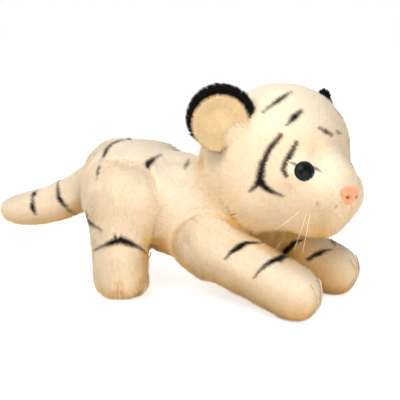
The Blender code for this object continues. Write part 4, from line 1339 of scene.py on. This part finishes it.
def comb(name):
    skin = skins[name]
    noise.seed_set(SWIRL_SEED)
    places, normals = skin_points(skin), skin_normals(skin)
    way = combed(name, places, normals)
    way = way - normals * np.sum(way * normals, axis=1)[:, None]
    way = way / (np.linalg.norm(way, axis=1)[:, None] + LEAST_WAY)
    swirl = np.array([noise.noise_vector(Vector(place) / SWIRL_SIZE) for place in places])
    way = way + swirl * SWIRL_SHARE
    lay = normals * math.cos(LEAN_ANGLE) + way * math.sin(LEAN_ANGLE)
    density = np.ones(len(places))
    # painted shade: the less room is open over a place, the more ochre its coat is painted
    painted_shade = evened(skin.data, np.clip((SHADE_OPEN - openness(name)) / SHADE_DEPTH, 0, 1))
    # on the head the painted shade stays low down and is weaker higher up
    if name == "head":
        painted_shade *= np.clip(1.0 - (places[:, 2] - SHADE_LOW) / SHADE_FADE, SHADE_LEAST, 1.0)
    seam = np.zeros(len(places))
    for other in NEIGHBOURS[name]:
        gaps = gaps_to(places, trees[other])
        # painted shade in the creases beside each neighbour, wider and stronger at the neck
        span, share = NECK_SHADE if {name, other} == {"torso", "head"} else SEAM_SHADE
        painted_shade = np.maximum(painted_shade, np.clip(1 - gaps / span, 0, 1) * share)
        density[gaps < -HIDDEN_DEPTH] = 0.0
        if not other.startswith("ear"):
            seam = np.maximum(seam, np.clip(FULL_SEAM - np.abs(gaps) / SEAM_SPAN, 0, 1))
    # painted shade on the sides and underneath, stronger the more a place faces down
    if not name.startswith(("ear", "liner")):
        painted_shade = np.clip(painted_shade + SIDE_SHADE * (1 - normals[:, 2]), 0, 1)
    reach = np.full(len(places), COAT_LENGTH)
    if name.startswith("ear"):
        reach[:] = EAR_COAT_LENGTH
        density[under_liner(name, places)] = 0.0
    if name.startswith("liner"):
        reach[:] = LINER_COAT_LENGTH
    if name == "head":
        bridge = np.array(nose_seat[0] - nose_seat[1] * BRIDGE_DEPTH)
        for seat, room in (*seats[:2], (seats[2][0], NOSE_ROOM)):
            away = np.linalg.norm(places - np.array(seat), axis=1)
            density[away < room * BARE_SHARE] = 0.0
            inner = np.linalg.norm(places - bridge, axis=1) < np.linalg.norm(np.array(seat) - bridge)
            trimmed = np.clip(TRIM_LEAST + (away - room) / TRIM_SPAN, TRIM_LEAST, 1.0)
            reach *= np.where(inner | (room == NOSE_ROOM), np.maximum(trimmed, TRIM_INNER), trimmed)
        for side, place in ear_places.items():
            foot = np.array(place @ Vector((*RUFF_FOOT[:2], RUFF_FOOT[2] * EAR_SIDES[side])))
            ruff = np.clip(RUFF_FULL - np.linalg.norm(places - foot, axis=1) / RUFF_SPAN, 0, 1)[:, None]
            upwards = np.array(place.to_3x3() @ Vector(RUFF_WAY))
            lay = lay * (1 - ruff) + (normals * RUFF_OUT + upwards) * ruff
            reach += RUFF_LENGTH * ruff[:, 0]
    if name in NECK_BARE:
        side, bare = NECK_BARE[name]
        cut = (places - np.array(neck)) @ np.array(neck_way) * side
        reach += NECK_COAT * np.clip(1 - cut / NECK_COAT_SPAN, 0, 1)
        density[cut < bare] = 0.0
    for key, values in zip(PILE_KEYS, (density, reach, unit_rows(lay), seam, normals, painted_shade)):
        set_values(skin.data, key, values)
    return painted_shade


def soften_seams(names):
    """Near a seam the fur's way out is the mean one of both pieces, so no edge shows there."""
    places, ways_out = [], []
    rng = np.random.default_rng(5)
    for name in names:
        free = np.flatnonzero(values_of(skins[name].data, "pile_density", 1) > 0)
        wanted = SOFT_SAMPLES * (3 if name in ("torso", "head") else 1)
        chosen = rng.choice(free, min(wanted, len(free)), replace=False)
        places.append(skin_points(skins[name])[chosen])
        ways_out.append(skin_normals(skins[name])[chosen])
    places = np.concatenate(places).astype(np.float32)
    ways_out = np.concatenate(ways_out).astype(np.float32)
    for name in names:
        data = skins[name].data
        seam = values_of(data, "pile_seam", 1)
        out = values_of(data, "pile_out", 3)
        rows = np.flatnonzero(seam > 0)
        own = skin_points(skins[name])[rows].astype(np.float32)
        for part in np.array_split(np.arange(len(rows)), max(len(rows) // 2000, 1)):
            squares = ((own[part, None, :] - places[None, :, :]) ** 2).sum(axis=2)
            weights = np.exp(-squares / (2 * SOFT_SPAN * SOFT_SPAN)) + 1e-12
            mean = unit_rows(weights @ ways_out)
            share = seam[rows[part]][:, None]
            out[rows[part]] = unit_rows(out[rows[part]] * (1 - share) + mean * share)
        set_values(data, "pile_out", out)


for name in skins:
    # the printed share is that of places with painted shade above 0.3
    painted_shade = comb(name)
    print(name, "warm share", round(float((painted_shade > 0.3).mean()), 2))
soften_seams([*LEGS, "torso", "head", "tail"])

# %% [markdown]
# The nodes run once for each skin and their result is kept as a plain mesh. Then every
# fibre gets a colour at its root and one at its tip, each by where it is, so a stripe stays
# in its place although the fibres lean across its edge. Its shading leans towards the
# skin's own way out, which makes a thick coat look soft.

# %% Planting and colouring
STRIPE_FULL, STRIPE_JITTER = 1.55, 0.25
STRIPE_LEAST, STRIPE_BROAD = 0.45, 0.0036
SKIN_OUT, FIBRE_OUT = 0.95, 0.18
# painted shade: below its tip each fibre is painted a little darker, and the skin under the coat darker
# still
LOW_SHARE, LOW_SHADE, TIP_SHARE, SKIN_SHADE = 0.5, 0.95, 0.85, 0.9

def stripe_share(name, places, shade):
    """From 0 outside the stripes to 1 in them, with a soft edge that each fibre shifts a little."""
    dots = stripe_dots.get(name)
    if dots is None:
        return np.zeros(len(places))
    tree = point_tree(dots[:, :3])
    share = np.zeros(len(places))
    strength = np.zeros(len(places))
    for number, place in enumerate(places):
        _, index, away = tree.find(place)
        share[number] = STRIPE_FULL - away / dots[index, 3]
        strength[number] = min(STRIPE_LEAST + dots[index, 3] / STRIPE_BROAD, 1.0)
    share = np.clip(share + (shade - 0.5) * STRIPE_JITTER, 0, 1)
    return share * share * (3 - 2 * share) * strength


def mixed(first, second, share):
    """Colours between two, or between each colour of a list and one."""
    first, second = np.array(first), np.array(second)
    return first + (second - first) * share[:, None]


def coat_colours(name, places, painted_shade, shade):
    """The colour of the pile, by what it is planted on and where."""
    if name.startswith("ear"):
        return mixed(BLACK, GREY_BROWN, shade * 0.01)
    if name.startswith("liner"):
        # the liner's painted shade, with a little random tone
        return mixed(EAR_CREAM, EAR_SHADE_OCHRE, np.clip(painted_shade * 0.7 + shade * 0.12, 0, 1))
    # painted shade: ochre by the painted shade values, with a little random tone
    ochre_shade = np.clip(painted_shade * 0.95 + shade * 0.10, 0, 1)
    return mixed(mixed(CREAM, SHADE_OCHRE, ochre_shade), STRIPE_BLACK, stripe_share(name, places, shade))


def plant(name, material, seed):
    skin = skins[name]
    modifier = skin.modifiers.new("pile", "NODES")
    modifier.node_group = planting(seed)
    graph = bpy.context.evaluated_depsgraph_get()
    coat = bpy.data.meshes.new_from_object(skin.evaluated_get(graph))
    skin.modifiers.remove(modifier)
    places = np.empty(len(coat.vertices) * 3, np.float32)
    coat.vertices.foreach_get("co", places)
    places = places.reshape(-1, FIBRE_SIDES + 1, 3)
    tip = np.linalg.norm(places - places.mean(axis=1, keepdims=True), axis=2).argmax(axis=1)
    count = len(places)
    rows = np.arange(count)
    ends = places[rows, tip]
    roots = (places.sum(axis=1) - ends) / FIBRE_SIDES
    out = values_of(coat, "pile_out", 3).reshape(places.shape)[:, 0]
    painted_shade = values_of(coat, "pile_warmth", 1).reshape(count, -1)[:, 0]
    shade = np.random.default_rng(seed).random(count)
    tints = np.ones((count, FIBRE_SIDES + 1, 4))
    height = np.sum((ends - roots) * out, axis=1)[:, None]
    flat = ends - roots - out * height
    tints[:, :, :3] = (coat_colours(name, roots + flat * LOW_SHARE, painted_shade, shade) * LOW_SHADE)[:, None, :]
    tints[rows, tip, :3] = coat_colours(name, roots + flat * TIP_SHARE, painted_shade, shade)
    soft = unit_rows(out * SKIN_OUT + unit_rows(ends - roots) * FIBRE_OUT)
    normals = np.repeat(soft[:, None, :], FIBRE_SIDES + 1, axis=1).reshape(-1, 3)
    places[:, :, 2] = np.maximum(places[:, :, 2], FLOOR_CLEAR)
    coat.vertices.foreach_set("co", places.ravel())
    for key in PILE_KEYS:
        if key in coat.attributes:
            coat.attributes.remove(coat.attributes[key])
    set_values(coat, "pile_tint", tints)
    coat.materials.clear()
    coat.materials.append(material)
    coat.shade_smooth()
    coat.normals_split_custom_set_from_vertices(normals)
    piece = bpy.data.objects.new(skin.name.replace("_skin", "_pile"), coat)
    bpy.context.scene.collection.objects.link(piece)
    # The skin under the coat has the colour of the fibres' roots, painted a little darker as shade under the
    # pile.
    under = skin_points(skin)
    shade = np.full(len(under), 0.5)
    painted_shade = values_of(skin.data, "pile_warmth", 1)
    below = np.ones((len(under), 4))
    below[:, :3] = coat_colours(name, under, painted_shade, shade) * SKIN_SHADE
    set_values(skin.data, "pile_tint", below)
    print(piece.name, count, "fibres", count * FIBRE_SIDES, "triangles")
    return piece


FIRST_SEED, SEED_STEP = 11, 7
coat_finish = {"ear": black_plush, "liner": liner_plush}
coats = {}
print("planting", len(skins), "coats")
for number, name in enumerate(skins):
    finish = coat_finish.get(name.split("_")[0], cream_plush)
    coats[name] = plant(name, finish, FIRST_SEED + SEED_STEP * number)
bpy.data.objects.remove(fibre)
set_points(skins["torso"], dented)

# %% [markdown]
# Each skin stands for a stuffed CAD cover and its filling. The torso, the head and the ears
# ride on their own bodies, and each coat goes with its skin. A leg or the tail is sewn on
# all round its root; its skin and coat are fixed where they are, on no body.


def attach(piece, name):
    if name in pivots:
        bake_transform(piece)
    else:
        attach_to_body(piece, name.replace("liner", "ear"))


for name, skin in skins.items():
    attach(skin, name)
    attach(coats[name], name)
    if name.startswith("ear"):
        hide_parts(f"{name}_back")
    elif name.startswith("liner"):
        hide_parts(f"{name.replace('liner', 'ear')}_liner")
    else:
        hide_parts(f"{name}_cover", f"{name}_filling")

# %% [markdown]
# A safety eye is a dome of glossy acrylic: black in the middle, with a dark teal ring that
# shows where light falls into it. The dome is spun from a quarter circle, and a radial
# value stored on its mesh tells the nodes where the ring is.

# %% Eyes
EYE_RADIUS = 0.0069
EYE_DOME, EYE_EDGE, EYE_BACK = 0.0042, 0.0004, 0.96
EYE_SEATS = {"left": 0.0034, "right": 0.0019}
EYE_RINGS = ((0.55, "#030404"), (0.68, "#081A1B"), (0.84, "#0C2527"), (0.92, "#060707"))
DOME_STEPS = 14
EYE_STEPS = 64


def eye_finish():
    material, tree, shader = new_finish("eye_acrylic_gloss")
    radius = add_node(tree, "ShaderNodeAttribute", {"attribute_name": "eye_radius"}).outputs["Fac"]
    tree.links.new(colour_ramp(tree, radius, *EYE_RINGS), shader.inputs["Base Color"])
    set_inputs(shader, Roughness=0.18, IOR=ACRYLIC_IOR, Specular_IOR_Level=0.1)
    return material


def build_eye(name, finish):
    base = SEAM_GAP - EYE_SEATS[name]
    angles = [math.pi / 2 * step / DOME_STEPS for step in range(DOME_STEPS + 1)]
    profile = [(0, 0, base - EYE_EDGE), (EYE_RADIUS * EYE_BACK, 0, base - EYE_EDGE)]
    profile += [(EYE_RADIUS * math.cos(angle), 0, base + EYE_DOME * math.sin(angle)) for angle in angles]
    mesh = spun(profile, (0, 0, 1), EYE_STEPS)
    face_outwards(mesh)
    shares = [math.hypot(vert.co.x, vert.co.y) / EYE_RADIUS for vert in mesh.verts]
    place, out = eye_seats[name]
    bmesh.ops.transform(mesh, matrix=frame_along(place, out), verts=mesh.verts)
    eye = add_piece(f"eye_{name}_dome", mesh, finish)
    set_values(eye.data, "eye_radius", shares)
    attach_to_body(eye, "head")
    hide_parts(f"eye_{name}")
    print(eye.name, len(eye.data.polygons), "faces")


eye_gloss = eye_finish()
for name in eye_seats:
    build_eye(name, eye_gloss)

# %% [markdown]
# The nose is a moulded rounded triangle under a coat of short flock. Two nostrils are
# pressed into its lower half, and their pits are painted dark as painted shade. It starts
# from a fine sphere that is widened towards the top.

# %% Nose
NOSE_WIDTH, NOSE_HEIGHT, NOSE_DEPTH, NOSE_TAPER = 0.0165, 0.0135, 0.0075, 0.42
NOSE_SEAT = 0.0012
NOSTRIL = (0.56, -0.05, 0.19, 0.0018)
NOSE_SHIFT = -0.0036
NOSE_PUFF_SHARE = 0.75
FLOCK_SIZE, FLOCK_DEPTH = 0.0007, 0.0003


def flock_finish():
    material, tree, shader = new_finish("nose_flock_velvet")
    fleck = noise_of(tree, FLOCK_SIZE, 3.0)
    colour = colour_ramp(tree, fleck, (0.35, "#C67D50"), (0.65, "#D69267"))
    # painted shade: the nostril pits are painted dark brown
    hole = add_node(tree, "ShaderNodeAttribute", {"attribute_name": "nostril"})
    shaded = add_node(tree, "ShaderNodeMix", {"data_type": "RGBA"})
    tree.links.new(hole.outputs["Fac"], shaded.inputs[0])
    tree.links.new(colour, shaded.inputs[6])
    shaded.inputs[7].default_value = (*linear("#3A1B10"), 1)
    tree.links.new(shaded.outputs[2], shader.inputs["Base Color"])
    bump = add_node(tree, "ShaderNodeBump", Height=fleck, Strength=0.35, Distance=FLOCK_DEPTH)
    tree.links.new(bump.outputs["Normal"], shader.inputs["Normal"])
    set_inputs(shader, Roughness=0.75, Sheen_Weight=0.5)
    return material


def build_nose():
    mesh = bmesh.new()
    bmesh.ops.create_icosphere(mesh, subdivisions=6, radius=1.0)
    across, low, spread, deep = NOSTRIL
    shades = []
    for vert in mesh.verts:
        x, y, z = vert.co
        width = NOSE_WIDTH / 2 * (1 + NOSE_TAPER * y)
        front = z if z > 0 else z / 2
        hole = math.exp(-((abs(x) - across) ** 2 + (y - low) ** 2) / (spread * spread)) if z > 0 else 0
        pressed = hole * deep
        # the nostril's dent is also stored as its painted shade
        shades.append(hole)
        groove = math.exp(-((x / 0.12) ** 2)) * max(-y - 0.25, 0) * 0.0012 if z > 0 else 0
        vert.co = (x * width, y * NOSE_HEIGHT / 2, front * NOSE_DEPTH / 2 - pressed - groove)
    rise = NOSE_DEPTH / 4 - NOSE_SEAT + SEAM_GAP
    bmesh.ops.translate(mesh, verts=mesh.verts, vec=(0, 0, rise))
    side = head_place.to_3x3() @ Vector((0, 1, 0))
    bmesh.ops.transform(mesh, matrix=frame_along(*nose_seat, side), verts=mesh.verts)
    shift = view_right * NOSE_SHIFT + nose_seat[1] * MUZZLE_PUFF * NOSE_PUFF_SHARE
    bmesh.ops.translate(mesh, verts=mesh.verts, vec=shift)
    nose = add_piece("nose_flocked", mesh, flock_finish())
    set_values(nose.data, "nostril", shades)
    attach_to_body(nose, "head")
    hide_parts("nose")
    return nose


nose = build_nose()
print(nose.name, len(nose.data.polygons), "faces")

# %% [markdown]
# Whiskers are single nylon threads, knotted inside the muzzle pads. Each near one is made
# here as a thin tapering tube along a curve that starts where the picture shows its root
# and ends where it shows its tip. The far whiskers, the toe threads and the washers inside
# keep their CAD shapes.

# %% Whiskers, threads and washers
def plain_finish(name, first, second, size, roughness, ior=1.5):
    """A finish with a little colour change at a real size."""
    material, tree, shader = new_finish(name)
    colour = colour_ramp(tree, noise_of(tree, size, 2.0), (0.0, first), (1.0, second))
    tree.links.new(colour, shader.inputs["Base Color"])
    set_inputs(shader, Roughness=roughness, IOR=ior)
    return material


# the hind toe threads are real stitches, painted darker as the shade of the creases they pull in
thread_and_crease_shade = plain_finish("toe_sewing_thread", "#B08E60", "#BE9C6E", 0.001, 0.8)
finishes = {
    "whisker": plain_finish("whisker_nylon_thread", "#FFF6E2", "#F1DDB8", 0.004, 0.3, 1.53),
    "hind_leg_left_toe": thread_and_crease_shade,
    "hind_leg_right_toe": thread_and_crease_shade,
    "toe_line": plain_finish("cream_toe_thread", "#D0B285", "#D9BD92", 0.001, 0.8),
    "washer": plain_finish("washer_nylon_moulded", "#E4E2DC", "#EFEDE8", 0.003, 0.4, 1.53),
}
WHISKER_RADIUS = 0.00016
WHISKER_OUT, WHISKER_ROOT = 0.022, 0.002
WHISKER_BOW, WHISKER_TAPER, WHISKER_STEPS, WHISKER_SIDES = 0.0012, 0.65, 12, 6
WHISKERS = (((304, 210.5), (275.7, 229.4)), ((308.5, 211.5), (294, 250.5)), ((311.5, 212), (302.5, 252.5)))


def whisker(name, root, tip):
    """A tapering thread from its root to its tip, bowed outwards a little."""
    mesh = bmesh.new()
    middle = (root + tip) / 2 + (root + tip - 2 * head_middle).normalized() * WHISKER_BOW
    rings = []
    for step in range(WHISKER_STEPS + 1):
        along = step / WHISKER_STEPS
        turn = frame_along(bent(root, middle, tip, along), tip - root)
        radius = WHISKER_RADIUS * (1 - WHISKER_TAPER * along)
        ring = bmesh.ops.create_circle(mesh, segments=WHISKER_SIDES, radius=radius, matrix=turn)
        rings.append(ring["verts"])
    for lower, upper in zip(rings, rings[1:]):
        for number in range(WHISKER_SIDES):
            mesh.faces.new((lower[number - 1], lower[number], upper[number], upper[number - 1]))
    mesh.faces.new(rings[0])
    mesh.faces.new(rings[-1])
    face_outwards(mesh)
    thread = add_piece(name.replace("whisker", "whisker_thread"), mesh, finishes["whisker"])
    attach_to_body(thread, "head")
    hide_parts(name)


head_middle = Vector(skin_points(skins["head"]).mean(axis=0))
near_whiskers = sorted(key for key in nodes if key.startswith("whisker_right"))
for name, (start, end) in zip(near_whiskers, WHISKERS):
    root = on_skin(trees["head"], (start,), head_middle)[0]
    tip = view_place + sight_line(*end) * ((root - view_place).length - WHISKER_OUT)
    root -= (root - head_middle).normalized() * WHISKER_ROOT
    whisker(name, root, tip)
print("whiskers:", near_whiskers)
for name, node in nodes.items():
    for key, finish in finishes.items():
        if key in name:
            node.data.materials.clear()
            node.data.materials.append(finish)
            break

# %% [markdown]
# Light: a soft sky and two broad studio lamps. The floor and the backdrop look white to the
# camera and in reflections, and the floor keeps the toy's shadow.

# %% Floor, backdrop and lamps
FLOOR_SIZE, FLOOR_GLOW = 3.0, 0.62
SKY_COLOUR, SKY_STRENGTH = (1.0, 0.99, 0.97, 1), 0.84
WHITE = (1, 1, 1, 1)


def add_lamp(name, place, target, size, power, colour):
    data = bpy.data.lights.new(name, "AREA")
    data.shape = "DISK"
    data.size = size
    data.energy = power
    data.color = linear(colour)
    lamp = bpy.data.objects.new(name, data)
    lamp.matrix_world = frame_along(Vector(place), Vector(place) - Vector(target))
    bpy.context.scene.collection.objects.link(lamp)


def larger(tree, first, second):
    return add_node(tree, "ShaderNodeMath", {"operation": "MAXIMUM"}, _0=first, _1=second).outputs[0]


def build_floor():
    mesh = bmesh.new()
    bmesh.ops.create_grid(mesh, x_segments=4, y_segments=4, size=FLOOR_SIZE)
    material, tree, shader = new_finish("pale_studio_floor")
    set_inputs(shader, Base_Color=(*linear("#F4F1EC"), 1), Roughness=0.9)
    output = next(node for node in tree.nodes if node.type == "OUTPUT_MATERIAL")
    glow = add_node(tree, "ShaderNodeEmission", Color=WHITE, Strength=FLOOR_GLOW)
    both = add_node(tree, "ShaderNodeAddShader", _0=shader.outputs[0], _1=glow.outputs[0])
    ray = add_node(tree, "ShaderNodeLightPath").outputs
    seen = larger(tree, ray["Is Camera Ray"], ray["Is Glossy Ray"])
    chosen = add_node(tree, "ShaderNodeMixShader", _0=seen, _1=shader.outputs[0], _2=both.outputs[0])
    tree.links.new(chosen.outputs[0], output.inputs["Surface"])
    add_piece("studio_floor", mesh, material)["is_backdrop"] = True


def build_sky():
    world = bpy.data.worlds.new("studio")
    bpy.context.scene.world = world
    world.use_nodes = True
    tree = world.node_tree
    tree.nodes.clear()
    soft = add_node(tree, "ShaderNodeBackground", Color=SKY_COLOUR, Strength=SKY_STRENGTH)
    white = add_node(tree, "ShaderNodeBackground", Color=WHITE, Strength=1.0)
    ray = add_node(tree, "ShaderNodeLightPath").outputs
    seen = larger(tree, ray["Is Camera Ray"], ray["Is Glossy Ray"])
    through = larger(tree, seen, ray["Is Transmission Ray"])
    chosen = add_node(tree, "ShaderNodeMixShader", _0=through, _1=soft.outputs[0], _2=white.outputs[0])
    add_node(tree, "ShaderNodeOutputWorld", Surface=chosen.outputs[0])


build_floor()
build_sky()
add_lamp("key_lamp", (-0.05, -0.6, 0.80), (0, 0, 0.06), 0.7, 6.3, "#FFFCF7")
add_lamp("fill_lamp", (0.62, -0.72, 0.16), (0.03, 0, 0.05), 0.8, 5.3, "#FFFAF2")
bpy.context.scene.view_settings.view_transform = "Standard"

# %% Sizes and finish
full_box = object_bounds()
for name, box in (("CAD", cad_box), ("dressed", full_box)):
    print(name, [tuple(round(value * 1000, 1) for value in corner) for corner in box])
